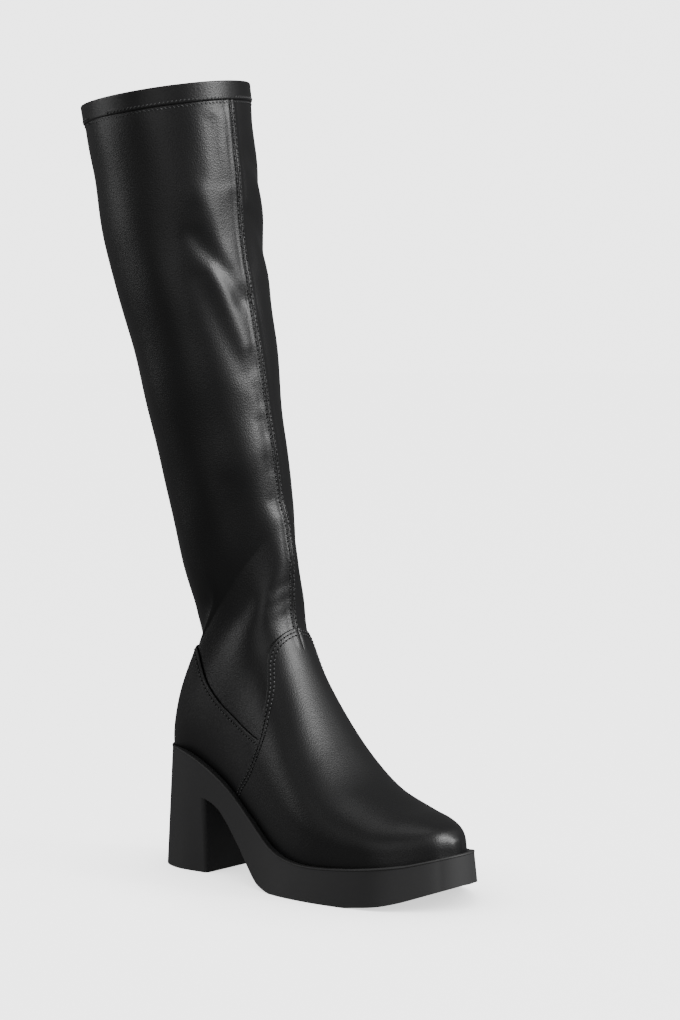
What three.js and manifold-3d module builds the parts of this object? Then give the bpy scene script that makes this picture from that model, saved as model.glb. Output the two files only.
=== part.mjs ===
// A right knee-high boot with a platform sole and a block heel.
// Millimetres, +Z up, toe towards -Y, inner (medial) side towards +X.
// The origin is the centre of the heel's flat bottom.
//
// Places on the boot are worked out in its side view: "along" runs from the heel's back
// to the toe, z is the height over the floor, and x is how far the point lies inwards.

import * as THREE from "three";
import { mergeVertices } from "three/addons/utils/BufferGeometryUtils.js";
import Module from "manifold-3d";

const wasm = await Module();
wasm.setup();

// Sole
const SOLE_LENGTH = 240;
const BALL_WIDTH = 93;
const HEEL_HEIGHT = 80; // floor to rim at the heel's back
const PLATFORM_HEIGHT = 22; // floor to rim under the ball
const TOE_SPRING = 15; // lift of the underside at the tip
const WALL_FLARE = 3.4; // how far the side wall splays out towards the floor
const HEEL_DEPTH = 51; // heel block at the floor, back to breast
const HEEL_CORNER = 3; // radius of the heel block's front corners
const RECESS = 4; // rim's height over the seat that the upper stands on

// Upper
const INSTEP_RISE = 104; // rim to the top of the instep
const SHAFT_RISE = 435; // rim at the heel to the collar's front
const SHAFT_DEPTH = 110.5; // collar, back to front
const SHAFT_WIDTH = 104.6; // collar, side to side
const COLLAR_DROP = 14.5; // how much lower the collar's back is than its front
const SIDE_LEAN = 25.5; // the shaft's lean to the lateral side, at the collar
const SIDE_DROP = 6; // how much lower the collar's lateral side is than its medial side
const UPPER_WALL = 1.5;
const OVERLAY_WALL = 1.4;
const HEM_HEIGHT = 12.5;
const HEM_STEP = 0.8;
const INSOLE_THICKNESS = 3;
const TUCK = 6; // how far the sections run below the seat before they are cut

// Zip
const ZIP_TOP = 225; // top of the zip over the rim at the heel
const ZIP_CLEAR_OF_RIM = 3;
const ZIP_SLOT_WIDTH = 9;
const ZIP_TAPE_WIDTH = 20;
const ZIP_TAPE_THICKNESS = 0.9;
const ZIP_TAPE_RUNOUT = 5; // tape above the slot
const CHAIN_WIDTH = 4.6;
const CHAIN_PROUD = 0.7;
const SLIDER_LENGTH = 10;
const SLIDER_WIDTH = 7.4;
const SLIDER_TAPER = 0.78; // its lower end's width as a share of its upper end's
const SLIDER_PLATE = 1.2;
const SLIDER_SKIRT = 0.9;
const BAR_RADIUS = 0.55;
const BAR_HEIGHT = 2.3; // bar's centre over the slider's plate
const EAR_WIDTH = 0.8;
const EAR_GAP = 3.4; // free width between the slider's ears
const PULL_LENGTH = 22;
const PULL_WIDTH = 5.6;
const PULL_THICKNESS = 1.2;
const PULL_NECK = 4.4; // bar to the shoulders of the tab
const PULL_EYE = 1.65; // outer radius of the eye

const CLEARANCE = 0.3; // between pieces that meet
const PIN_CLEARANCE = 0.25; // between the pull's eye and the slider's bar

// How finely the forms are divided
const AROUND = 28; // points round a section
const FOOT_STEP = 0.5; // rows from one section to the next, over the foot and ankle
const LEG_STEP = 1; // and up the leg
const SOLE_STATIONS = 34;
const REACH = 300; // larger than the boot is wide
const MARGIN = 20; // how far a cutting shape passes the boot's ends

const OVERLAY_INNER = CLEARANCE;
const OVERLAY_OUTER = CLEARANCE + OVERLAY_WALL;
const HEEL_BACK = -WALL_FLARE * 1.1;
const ORIGIN_ALONG = HEEL_BACK + HEEL_DEPTH / 2;

// The sole's outline at the rim. lateral and medial are half widths as shares of BALL_WIDTH,
// and splay is the floor edge's shift outwards as a share of WALL_FLARE.
const OUTLINE = [
  { along: 0.0, lateral: 0.0, medial: 0.0, splay: 1.1 },
  { along: 0.03, lateral: 0.185, medial: 0.19, splay: 1.1 },
  { along: 0.1, lateral: 0.292, medial: 0.292, splay: 0.5 },
  { along: 0.22, lateral: 0.35, medial: 0.34, splay: -1.1 },
  { along: 0.36, lateral: 0.413, medial: 0.36, splay: 0.2 },
  { along: 0.5, lateral: 0.5, medial: 0.413, splay: 1.0 },
  { along: 0.62, lateral: 0.534, medial: 0.464, splay: 1.0 },
  { along: 0.74, lateral: 0.512, medial: 0.489, splay: 1.0 },
  { along: 0.84, lateral: 0.457, medial: 0.465, splay: 1.0 },
  { along: 0.92, lateral: 0.332, medial: 0.325, splay: 1.0 },
  { along: 0.97, lateral: 0.2, medial: 0.175, splay: 1.0 },
  { along: 1.0, lateral: 0.0, medial: 0.0, splay: 1.0 },
];

// Heights along the sole: heel is a share of the heel's rise over the platform,
// toe a share of TOE_SPRING.
const RIM_LINE = [
  { along: 0.0, heel: 1.0, toe: 0.0 },
  { along: 0.1, heel: 0.985, toe: 0.0 },
  { along: 0.2, heel: 0.86, toe: 0.0 },
  { along: 0.3, heel: 0.655, toe: 0.0 },
  { along: 0.4, heel: 0.36, toe: 0.0 },
  { along: 0.5, heel: 0.09, toe: 0.0 },
  { along: 0.6, heel: 0.0, toe: 0.01 },
  { along: 0.75, heel: 0.0, toe: 0.11 },
  { along: 0.9, heel: 0.0, toe: 0.42 },
  { along: 1.0, heel: 0.0, toe: 0.84 },
];
const UNDERSIDE = [
  { along: 0.19, heel: 0.865, toe: 0.0 },
  { along: 0.235, heel: 0.815, toe: 0.0 },
  { along: 0.28, heel: 0.695, toe: 0.0 },
  { along: 0.35, heel: 0.415, toe: 0.0 },
  { along: 0.4, heel: 0.2, toe: 0.0 },
  { along: 0.44, heel: 0.068, toe: 0.0 },
  { along: 0.5, heel: 0.0, toe: 0.0 },
  { along: 0.54, heel: -0.02, toe: 0.0 },
  { along: 0.7, heel: -0.02, toe: 0.0 },
  { along: 0.78, heel: 0.0, toe: 0.05 },
  { along: 0.88, heel: 0.0, toe: 0.3 },
  { along: 1.0, heel: 0.0, toe: 1.0 },
];

// The upper's sections over the foot. bottom and top are shares of SOLE_LENGTH, rise is the top's
// height over the rim as a share of INSTEP_RISE, lateral and medial are half widths as shares of
// BALL_WIDTH, wide is the height where the section is widest, and crown and base are its roundness.
const FOOT_ROWS = [
  {
    bottom: 0.964, top: 0.963, rise: 0.105,
    lateral: 0.078, medial: 0.064, wide: 0.6, crown: 2.6, base: 2.6,
  },
  {
    bottom: 0.948, top: 0.935, rise: 0.175,
    lateral: 0.2, medial: 0.182, wide: 0.56, crown: 2.6, base: 3.2,
  },
  {
    bottom: 0.9, top: 0.868, rise: 0.245,
    lateral: 0.336, medial: 0.33, wide: 0.52, crown: 2.4, base: 4.2,
  },
  {
    bottom: 0.828, top: 0.785, rise: 0.31,
    lateral: 0.44, medial: 0.442, wide: 0.48, crown: 2.25, base: 4.6,
  },
  {
    bottom: 0.712, top: 0.678, rise: 0.46,
    lateral: 0.495, medial: 0.463, wide: 0.45, crown: 2.1, base: 5.2,
  },
  {
    bottom: 0.605, top: 0.592, rise: 0.67,
    lateral: 0.512, medial: 0.444, wide: 0.44, crown: 2.05, base: 5.4,
  },
  {
    bottom: 0.498, top: 0.517, rise: 0.87,
    lateral: 0.476, medial: 0.397, wide: 0.445, crown: 2.05, base: 5.2,
  },
  {
    bottom: 0.383, top: 0.454, rise: 0.95,
    lateral: 0.415, medial: 0.36, wide: 0.43, crown: 2.05, base: 4.8,
  },
  {
    bottom: 0.259, top: 0.412, rise: 1.0,
    lateral: 0.366, medial: 0.348, wide: 0.435, crown: 2.15, base: 4.2,
  },
  {
    bottom: 0.134, top: 0.405, rise: 1.115,
    lateral: 0.342, medial: 0.342, wide: 0.466, crown: 2.2, base: 3.3,
  },
  {
    bottom: 0.022, top: 0.404, rise: 1.26,
    lateral: 0.322, medial: 0.33, wide: 0.49, crown: 2.1, base: 2.4,
  },
];

// The upper's sections up the leg. back and front are shares of SHAFT_DEPTH from the heel's back,
// backRise and frontRise are shares of SHAFT_RISE, lateral and medial are shares of SHAFT_WIDTH,
// and covered says how much of the section lies under the counter and vamp.
const LEG_ROWS = [
  {
    back: 0.031, backRise: 0.032, front: 0.853, frontRise: 0.333,
    lateral: 0.29, medial: 0.295, covered: 1,
  },
  {
    back: 0.15, backRise: 0.076, front: 0.833, frontRise: 0.36,
    lateral: 0.29, medial: 0.308, covered: 0.8,
  },
  {
    back: 0.285, backRise: 0.135, front: 0.806, frontRise: 0.387,
    lateral: 0.292, medial: 0.32, covered: 0.4,
  },
  {
    back: 0.26, backRise: 0.195, front: 0.794, frontRise: 0.421,
    lateral: 0.315, medial: 0.338, covered: 0,
  },
  {
    back: 0.185, backRise: 0.271, front: 0.782, frontRise: 0.463,
    lateral: 0.352, medial: 0.352, covered: 0,
  },
  {
    back: 0.104, backRise: 0.364, front: 0.755, frontRise: 0.518,
    lateral: 0.375, medial: 0.375, covered: 0,
  },
  {
    back: 0.023, backRise: 0.468, front: 0.729, frontRise: 0.586,
    lateral: 0.415, medial: 0.416, covered: 0,
  },
  {
    back: -0.077, backRise: 0.583, front: 0.685, frontRise: 0.668,
    lateral: 0.451, medial: 0.452, covered: 0,
  },
  {
    back: -0.212, backRise: 0.711, front: 0.639, frontRise: 0.768,
    lateral: 0.488, medial: 0.488, covered: 0,
  },
  {
    back: -0.314, backRise: 0.832, front: 0.627, frontRise: 0.872,
    lateral: 0.502, medial: 0.502, covered: 0,
  },
];
const COLLAR_ROW = { back: -0.4, front: 0.6, half: 0.5 };
const LEAN_FROM = 0.195; // share of SHAFT_RISE where the sideways lean starts
const LEG_ROUNDNESS = 2.05;

// Edges of the overlays in the side view: along is a share of SOLE_LENGTH, rise a share of
// INSTEP_RISE over the rim at the heel's back.
const VAMP_EDGE_LATERAL = [
  { along: 0.438, rise: 0.85 },
  { along: 0.42, rise: 0.775 },
  { along: 0.408, rise: 0.69 },
  { along: 0.41, rise: 0.59 },
  { along: 0.424, rise: 0.47 },
  { along: 0.427, rise: 0.36 },
  { along: 0.424, rise: 0.18 },
  { along: 0.4, rise: 0.04 },
  { along: 0.37, rise: -0.08 },
  { along: 0.33, rise: -0.19 },
  { along: 0.3, rise: -0.32 },
];
const VAMP_EDGE_MEDIAL = [
  { along: 0.438, rise: 0.85 },
  { along: 0.42, rise: 0.775 },
  { along: 0.413, rise: 0.69 },
  { along: 0.418, rise: 0.59 },
  { along: 0.43, rise: 0.44 },
  { along: 0.425, rise: 0.3 },
  { along: 0.395, rise: 0.185 },
  { along: 0.355, rise: 0.12 },
  { along: 0.3, rise: 0.09 },
  { along: 0.22, rise: 0.08 },
];
const COUNTER_EDGE = [
  { along: -0.1, rise: 0.74 },
  { along: 0.06, rise: 0.73 },
  { along: 0.13, rise: 0.71 },
  { along: 0.165, rise: 0.65 },
  { along: 0.18, rise: 0.55 },
  { along: 0.2, rise: 0.45 },
  { along: 0.25, rise: 0.34 },
  { along: 0.31, rise: 0.255 },
  { along: 0.37, rise: 0.18 },
  { along: 0.43, rise: 0.13 },
  { along: 0.5, rise: 0.09 },
];

// The zip's middle line in the side view: along is a share of SOLE_LENGTH, rise of ZIP_TOP.
const ZIP_LINE = [
  { along: 0.31, rise: -0.12 },
  { along: 0.295, rise: 0.02 },
  { along: 0.275, rise: 0.14 },
  { along: 0.252, rise: 0.34 },
  { along: 0.225, rise: 0.66 },
  { along: 0.19, rise: 1.0 },
  { along: 0.177, rise: 1.12 },
];

const rubber = new THREE.MeshStandardMaterial({ color: 0x1b1b1c, roughness: 0.75, metalness: 0 });
const leather = new THREE.MeshStandardMaterial({ color: 0x0d0d0e, roughness: 0.38, metalness: 0 });
const lining = new THREE.MeshStandardMaterial({ color: 0x151515, roughness: 0.85, metalness: 0 });
const tapeCloth = new THREE.MeshStandardMaterial({ color: 0x0b0b0b, roughness: 0.8, metalness: 0 });
const darkMetal = new THREE.MeshStandardMaterial({ color: 0x2c2c2e, roughness: 0.4, metalness: 0.9 });
const greyMetal = new THREE.MeshStandardMaterial({ color: 0x4a4a4c, roughness: 0.45, metalness: 0.85 });

// Curves and tables

function catmullRom(before, from, to, after, t) {
  const slopeFrom = (to - before) / 2;
  const slopeTo = (after - from) / 2;
  const t2 = t * t;
  const t3 = t2 * t;
  const ends = from * (2 * t3 - 3 * t2 + 1) + to * (3 * t2 - 2 * t3);
  const slopes = slopeFrom * (t3 - 2 * t2 + t) + slopeTo * (t3 - t2);
  return ends + slopes;
}

// The value at place u of a list, smooth from one entry to the next.
function smoothAt(values, u) {
  const last = values.length - 1;
  const i = Math.min(Math.floor(u), last - 1);
  const before = i > 0 ? values[i - 1] : 2 * values[0] - values[1];
  const after = i + 2 <= last ? values[i + 2] : 2 * values[last] - values[last - 1];
  return catmullRom(before, values[i], values[i + 1], after, u - i);
}

// The value of a table's column where its key column reaches the given value.
function lookUp(rows, key, value, column) {
  const last = rows.length - 1;
  const clamped = THREE.MathUtils.clamp(value, rows[0][key], rows[last][key]);
  let i = 0;
  while (i < last - 1 && rows[i + 1][key] < clamped) {
    i += 1;
  }
  const u = i + (clamped - rows[i][key]) / (rows[i + 1][key] - rows[i][key]);
  return smoothAt(rows.map((row) => row[column]), u);
}

function heightAt(line, along) {
  const share = along / SOLE_LENGTH;
  const heel = lookUp(line, "along", share, "heel") * (HEEL_HEIGHT - PLATFORM_HEIGHT);
  return heel + lookUp(line, "along", share, "toe") * TOE_SPRING;
}

const rimHeight = (along) => PLATFORM_HEIGHT + heightAt(RIM_LINE, along);
const seatHeight = (along) => rimHeight(along) - RECESS;

function place(along, x, z) {
  return new THREE.Vector3(x, ORIGIN_ALONG - along, z);
}

// Solids

function toSolid(geometry) {
  const bare = new THREE.BufferGeometry();
  bare.setAttribute("position", geometry.getAttribute("position"));
  bare.setIndex(geometry.getIndex());
  const merged = mergeVertices(bare, 1e-4);
  return new wasm.Manifold(
    new wasm.Mesh({
      numProp: 3,
      vertProperties: new Float32Array(merged.getAttribute("position").array),
      triVerts: new Uint32Array(merged.getIndex().array),
    }),
  );
}

function toMesh(name, solid, material) {
  const data = solid.getMesh();
  const geometry = new THREE.BufferGeometry();
  geometry.setAttribute("position", new THREE.BufferAttribute(new Float32Array(data.vertProperties), 3));
  geometry.setIndex(new THREE.BufferAttribute(new Uint32Array(data.triVerts), 1));
  geometry.computeVertexNormals();
  const mesh = new THREE.Mesh(geometry, material);
  mesh.name = name;
  return mesh;
}

function meshGeometry(points, faces) {
  const geometry = new THREE.BufferGeometry();
  const places = points.flatMap((p) => p.toArray());
  geometry.setAttribute("position", new THREE.Float32BufferAttribute(places, 3));
  geometry.setIndex(faces);
  return geometry;
}

// A prism across the boot, from one x to another, over a side-view outline of [along, z] points.
function sidePrism(outline, fromX, toX) {
  const shape = new THREE.Shape(outline.map(([along, z]) => new THREE.Vector2(along, z)));
  const geometry = new THREE.ExtrudeGeometry(shape, { depth: toX - fromX, bevelEnabled: false, steps: 1 });
  const turn = new THREE.Matrix4().makeBasis(
    new THREE.Vector3(0, -1, 0),
    new THREE.Vector3(0, 0, 1),
    new THREE.Vector3(-1, 0, 0),
  );
  turn.setPosition(toX, ORIGIN_ALONG, 0);
  return toSolid(geometry.applyMatrix4(turn));
}

// Sole unit

function outlinePoint(turn) {
  const share = (1 - Math.cos(turn)) / 2;
  const angles = OUTLINE.map((row) => ({ ...row, turn: Math.acos(1 - 2 * row.along) }));
  return {
    along: share * SOLE_LENGTH,
    lateral: -Math.max(0, lookUp(angles, "turn", turn, "lateral")) * BALL_WIDTH,
    medial: Math.max(0, lookUp(angles, "turn", turn, "medial")) * BALL_WIDTH,
    splay: lookUp(angles, "turn", turn, "splay") * WALL_FLARE,
  };
}

// The rim's outline as one loop: heel's back, medial side, toe, lateral side.
function outlineLoop() {
  const stations = [];
  for (let i = 0; i <= SOLE_STATIONS; i += 1) {
    stations.push(outlinePoint((Math.PI * i) / SOLE_STATIONS));
  }
  const loop = stations.map((s) => ({ along: s.along, x: s.medial, splay: s.splay }));
  for (let i = SOLE_STATIONS - 1; i > 0; i -= 1) {
    loop.push({ along: stations[i].along, x: stations[i].lateral, splay: stations[i].splay });
  }
  return loop;
}

// The floor edge: each rim point moved outwards in plan by its splay.
function floorLoop(loop) {
  return loop.map((point, i) => {
    const before = loop[(i + loop.length - 1) % loop.length];
    const after = loop[(i + 1) % loop.length];
    const tangent = new THREE.Vector2(after.along - before.along, after.x - before.x).normalize();
    return { along: point.along - tangent.y * point.splay, x: point.x + tangent.x * point.splay };
  });
}

function soleBlock() {
  const loop = outlineLoop();
  const count = loop.length;
  const points = floorLoop(loop).map((p) => place(p.along, p.x, 0));
  points.push(...loop.map((p) => place(p.along, p.x, rimHeight(p.along))));
  const faces = [];
  for (let i = 0; i < count; i += 1) {
    const next = (i + 1) % count;
    faces.push(i, count + next, next, i, count + i, count + next);
  }
  // Floor and top are ladders between the medial and lateral point of each station.
  for (let i = 0; i < SOLE_STATIONS; i += 1) {
    const medial = i;
    const medialNext = i + 1;
    const lateral = (count - i) % count;
    const lateralNext = count - i - 1;
    if (lateral !== medial) {
      faces.push(medial, medialNext, lateral);
      faces.push(count + medial, count + lateral, count + medialNext);
    }
    if (lateralNext !== medialNext) {
      faces.push(lateral, medialNext, lateralNext);
      faces.push(count + lateral, count + lateralNext, count + medialNext);
    }
  }
  return toSolid(meshGeometry(points, faces));
}

// What is open under the foot: in front of the heel's breast and under the arch and toe.
function underfootCut() {
  const breast = HEEL_BACK + HEEL_DEPTH;
  const outline = [
    [breast, -MARGIN],
    [breast, heightAt(UNDERSIDE, breast)],
  ];
  const samples = 30;
  for (let i = 1; i <= samples; i += 1) {
    const along = breast + ((SOLE_LENGTH + MARGIN - breast) * i) / samples;
    outline.push([along, heightAt(UNDERSIDE, along)]);
  }
  outline.push([SOLE_LENGTH + MARGIN, -MARGIN]);
  return sidePrism(outline, -REACH, REACH);
}

function wallX(side, along, z) {
  const loop = outlineLoop();
  const floor = floorLoop(loop);
  const blend = z / rimHeight(along);
  let best = null;
  loop.forEach((rim, i) => {
    const x = floor[i].x + (rim.x - floor[i].x) * blend;
    const at = floor[i].along + (rim.along - floor[i].along) * blend;
    if (x * side > 0 && (best === null || Math.abs(at - along) < Math.abs(best.at - along))) {
      best = { x, at };
    }
  });
  return best.x;
}

// What a round front corner of the heel block leaves off a square one, on one side.
function heelCornerCut(side) {
  const breast = HEEL_BACK + HEEL_DEPTH;
  const levels = [-2, heightAt(UNDERSIDE, breast)];
  const ahead = 1;
  const arcSteps = 6;
  const rings = levels.map((z) => {
    const wall = wallX(side, breast - HEEL_CORNER, Math.max(0, z)) * side;
    const ring = [[breast + ahead, wall - HEEL_CORNER], [breast + ahead, wall + HEEL_CORNER]];
    ring.push([breast - HEEL_CORNER, wall + HEEL_CORNER]);
    for (let i = 0; i <= arcSteps; i += 1) {
      const angle = (Math.PI / 2) * (i / arcSteps);
      ring.push([
        breast - HEEL_CORNER + HEEL_CORNER * Math.sin(angle),
        wall - HEEL_CORNER + HEEL_CORNER * Math.cos(angle),
      ]);
    }
    return ring.map(([along, x]) => place(along, x * side, z));
  });
  const count = rings[0].length;
  const contour = rings[0].map((p) => new THREE.Vector2(p.x, p.y));
  const clockwise = THREE.ShapeUtils.isClockWise(contour);
  const faces = [];
  for (const [a, b, c] of THREE.ShapeUtils.triangulateShape(contour, [])) {
    const lifted = THREE.ShapeUtils.isClockWise([contour[a], contour[b], contour[c]]);
    faces.push(...(lifted ? [a, b, c] : [a, c, b]));
    faces.push(...(lifted ? [count + a, count + c, count + b] : [count + a, count + b, count + c]));
  }
  for (let i = 0; i < count; i += 1) {
    const next = (i + 1) % count;
    const quad = [i, next, count + next, i, count + next, count + i];
    faces.push(...(clockwise ? quad.reverse() : quad));
  }
  return toSolid(meshGeometry(rings.flat(), faces));
}

// Upper

// Each row as its back and front end in the side view, half widths and roundness, in millimetres.
function sectionRows() {
  const under = OVERLAY_OUTER;
  const foot = FOOT_ROWS.map((row) => {
    const bottom = row.bottom * SOLE_LENGTH;
    return {
      backAlong: bottom,
      backZ: seatHeight(bottom) - TUCK,
      frontAlong: row.top * SOLE_LENGTH,
      frontZ: rimHeight(bottom) + row.rise * INSTEP_RISE - under,
      lateral: row.lateral * BALL_WIDTH - under,
      medial: row.medial * BALL_WIDTH - under,
      wide: row.wide,
      crown: row.crown,
      base: row.base,
    };
  });
  const leg = LEG_ROWS.map((row) => ({
    backAlong: row.back * SHAFT_DEPTH + under * row.covered,
    backZ: HEEL_HEIGHT + row.backRise * SHAFT_RISE,
    frontAlong: row.front * SHAFT_DEPTH,
    frontZ: HEEL_HEIGHT + row.frontRise * SHAFT_RISE,
    lateral: row.lateral * SHAFT_WIDTH - under * row.covered,
    medial: row.medial * SHAFT_WIDTH - under * row.covered,
    wide: 0.5,
    crown: LEG_ROUNDNESS,
    base: LEG_ROUNDNESS,
  }));
  const collar = {
    backAlong: COLLAR_ROW.back * SHAFT_DEPTH,
    backZ: HEEL_HEIGHT + SHAFT_RISE - COLLAR_DROP,
    frontAlong: COLLAR_ROW.front * SHAFT_DEPTH,
    frontZ: HEEL_HEIGHT + SHAFT_RISE,
    lateral: COLLAR_ROW.half * SHAFT_WIDTH,
    medial: COLLAR_ROW.half * SHAFT_WIDTH,
    wide: 0.5,
    crown: LEG_ROUNDNESS,
    base: LEG_ROUNDNESS,
  };
  // One more section beyond the collar, which the collar's cut takes off.
  const last = leg[leg.length - 1];
  const beyond = { ...collar };
  for (const key of ["backAlong", "backZ", "frontAlong", "frontZ"]) {
    beyond[key] = collar[key] + (collar[key] - last[key]) * 0.4;
  }
  return [...foot, ...leg, collar, beyond];
}

const rows = sectionRows();
const collarRow = rows[rows.length - 2];

function power(value, exponent) {
  return Math.sign(value) * Math.abs(value) ** exponent;
}

// A ring of points, from the front over the lateral side to the back and round the medial side.
function ring(u) {
  const row = {};
  for (const key of Object.keys(rows[0])) {
    row[key] = smoothAt(rows.map((r) => r[key]), u);
  }
  const leanFrom = HEEL_HEIGHT + LEAN_FROM * SHAFT_RISE;
  const collarHeight = (collarRow.backZ + collarRow.frontZ) / 2;
  const height = (row.backZ + row.frontZ) / 2;
  const lean = Math.max(0, (height - leanFrom) / (collarHeight - leanFrom));
  const points = [];
  for (let j = 0; j < AROUND; j += 1) {
    const angle = (2 * Math.PI * j) / AROUND;
    const cosine = Math.cos(angle);
    const exponent = 2 / (cosine >= 0 ? row.crown : row.base);
    const reach = cosine >= 0 ? 1 - row.wide : row.wide;
    const share = row.wide + reach * power(cosine, exponent);
    const half = Math.sin(angle) >= 0 ? -row.lateral : -row.medial;
    const x = half * power(Math.sin(angle), exponent);
    points.push(
      place(
        row.backAlong + (row.frontAlong - row.backAlong) * share,
        x - lean * SIDE_LEAN,
        row.backZ + (row.frontZ - row.backZ) * share + (lean * SIDE_DROP * x) / SHAFT_WIDTH,
      ),
    );
  }
  return points;
}

function middleOf(points) {
  return points.reduce((sum, p) => sum.add(p), new THREE.Vector3()).divideScalar(points.length);
}

// The upper's whole form, closed at both ends, moved out along its normals by the given distance.
function form(offset) {
  const rings = [];
  const ankle = FOOT_ROWS.length + 3;
  for (let u = 0; u < rows.length; u += u < ankle ? FOOT_STEP : LEG_STEP) {
    rings.push(ring(u));
  }
  const last = rings.length - 1;
  const points = [...rings.flat(), middleOf(rings[0]), middleOf(rings[last])];
  const toeCentre = rings.length * AROUND;
  const faces = [];
  for (let i = 0; i < last; i += 1) {
    for (let j = 0; j < AROUND; j += 1) {
      const next = (j + 1) % AROUND;
      const a = i * AROUND + j;
      const b = i * AROUND + next;
      faces.push(a, b + AROUND, b, a, a + AROUND, b + AROUND);
    }
  }
  for (let j = 0; j < AROUND; j += 1) {
    const next = (j + 1) % AROUND;
    faces.push(toeCentre, j, next);
    faces.push(toeCentre + 1, last * AROUND + next, last * AROUND + j);
  }
  const geometry = meshGeometry(points, faces);
  geometry.computeVertexNormals();
  const normals = geometry.getAttribute("normal");
  const moved = points.map((p, i) => {
    const normal = new THREE.Vector3().fromBufferAttribute(normals, i);
    return p.clone().addScaledVector(normal, offset);
  });
  return meshGeometry(moved, faces);
}

const forms = new Map();
function formSolid(offset) {
  if (!forms.has(offset)) {
    forms.set(offset, toSolid(form(offset)));
  }
  return forms.get(offset);
}

// A side-view band of the foot between two heights over the seat.
function seatBand(low, high) {
  const samples = 40;
  const upperEdge = [];
  const lowerEdge = [];
  for (let i = 0; i <= samples; i += 1) {
    const along = -MARGIN + ((SOLE_LENGTH + 2 * MARGIN) * i) / samples;
    lowerEdge.push([along, seatHeight(along) + low]);
    upperEdge.push([along, seatHeight(along) + high]);
  }
  return sidePrism([...lowerEdge, ...upperEdge.reverse()], -REACH, REACH);
}

// Everything above the plane that lies a given distance under the collar.
function aboveCollar(drop) {
  const collar = ring(rows.length - 2);
  const quarter = AROUND / 4;
  const across = collar[3 * quarter].clone().sub(collar[quarter]).normalize();
  const back = collar[2 * quarter].clone().sub(collar[0]).normalize();
  const up = new THREE.Vector3().crossVectors(across, back).normalize();
  const turn = new THREE.Matrix4().makeBasis(across, new THREE.Vector3().crossVectors(up, across), up);
  const block = new THREE.BoxGeometry(2 * REACH, 2 * REACH, REACH).translate(0, 0, REACH / 2 - drop);
  return toSolid(block.applyMatrix4(turn.setPosition(middleOf(collar))));
}

function edgePoints(rowsOfEdge) {
  const knots = rowsOfEdge.map(({ along, rise }) => {
    return new THREE.Vector2(along * SOLE_LENGTH, HEEL_HEIGHT + rise * INSTEP_RISE);
  });
  const curve = new THREE.SplineCurve(knots);
  return curve.getPoints(2 * (rowsOfEdge.length - 1)).map((p) => p.toArray());
}

// The region of the vamp, in front of its edge, on one half of the boot.
function vampRegion(edge, fromX, toX, setBack) {
  const points = edgePoints(edge).map(([along, z]) => [along - setBack, z]);
  const top = points[0];
  const bottom = points[points.length - 1];
  const ahead = SOLE_LENGTH + MARGIN;
  const outline = [[ahead, -MARGIN], [ahead, top[1]], ...points, [bottom[0], -MARGIN]];
  return sidePrism(outline.reverse(), fromX, toX);
}

// The region of the counter: below its top edge.
function counterRegion(fromX, toX) {
  const points = edgePoints(COUNTER_EDGE);
  const last = points[points.length - 1];
  const outline = [[points[0][0], -MARGIN], [last[0], -MARGIN], ...points.reverse()];
  return sidePrism(outline, fromX, toX);
}

// Zip

const zipCurve = new THREE.SplineCurve(
  ZIP_LINE.map((row) => new THREE.Vector2(row.along * SOLE_LENGTH, HEEL_HEIGHT + row.rise * ZIP_TOP)),
);
const zipSamples = zipCurve.getPoints(60);

function zipAlong(z) {
  let i = 0;
  while (i < zipSamples.length - 2 && zipSamples[i + 1].y < z) {
    i += 1;
  }
  const from = zipSamples[i];
  const to = zipSamples[i + 1];
  return from.x + ((to.x - from.x) * (z - from.y)) / (to.y - from.y);
}

const zipTop = HEEL_HEIGHT + ZIP_TOP;
const zipFoot = ZIP_LINE[1].along * SOLE_LENGTH;

// A strip along the zip's line in the side view, on the medial half. It starts over the rim.
function zipStrip(width, clearOfRim, top) {
  const samples = 9;
  const edge = (shift) => {
    const bottom = rimHeight(zipFoot + shift) + clearOfRim;
    const points = [];
    for (let i = 0; i <= samples; i += 1) {
      const z = bottom + ((top - bottom) * i) / samples;
      points.push([zipAlong(z) + shift, z]);
    }
    return points;
  };
  return sidePrism([...edge(width / 2), ...edge(-width / 2).reverse()], 0, REACH);
}

const zipSlot = zipStrip(ZIP_SLOT_WIDTH, ZIP_CLEAR_OF_RIM, zipTop);

// The point of the form's medial side at a place in the side view.
function medialPoint(along, z, offset) {
  const geometry = form(offset);
  const mesh = new THREE.Mesh(geometry, leather);
  const from = place(along, REACH, z);
  const caster = new THREE.Raycaster(from, new THREE.Vector3(-1, 0, 0));
  return caster.intersectObject(mesh)[0].point;
}

// The slider's frame: across the zip, up the zip, and out of the boot.
function sliderFrame() {
  const z = zipTop - SLIDER_LENGTH / 2 - CLEARANCE;
  const span = SLIDER_LENGTH / 2;
  const seat = medialPoint(zipAlong(z), z, CHAIN_PROUD);
  const above = medialPoint(zipAlong(z + span), z + span, CHAIN_PROUD);
  const below = medialPoint(zipAlong(z - span), z - span, CHAIN_PROUD);
  const side = medialPoint(zipAlong(z) + span, z, CHAIN_PROUD);
  const up = above.clone().sub(below).normalize();
  const out = new THREE.Vector3().crossVectors(up, side.sub(seat)).normalize();
  const across = new THREE.Vector3().crossVectors(up, out).normalize();
  const middle = above.add(below).divideScalar(2);
  const origin = middle.dot(out) > seat.dot(out) ? middle : seat;
  return new THREE.Matrix4().makeBasis(across, up, out).setPosition(origin.addScaledVector(out, CLEARANCE));
}

// An extrusion in a local frame: the outline lies in the first two axes, depth along the third.
function plate(shape, depth, matrix) {
  const geometry = new THREE.ExtrudeGeometry(shape, { depth, bevelEnabled: false, curveSegments: 5 });
  return toSolid(geometry.applyMatrix4(matrix));
}

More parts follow.
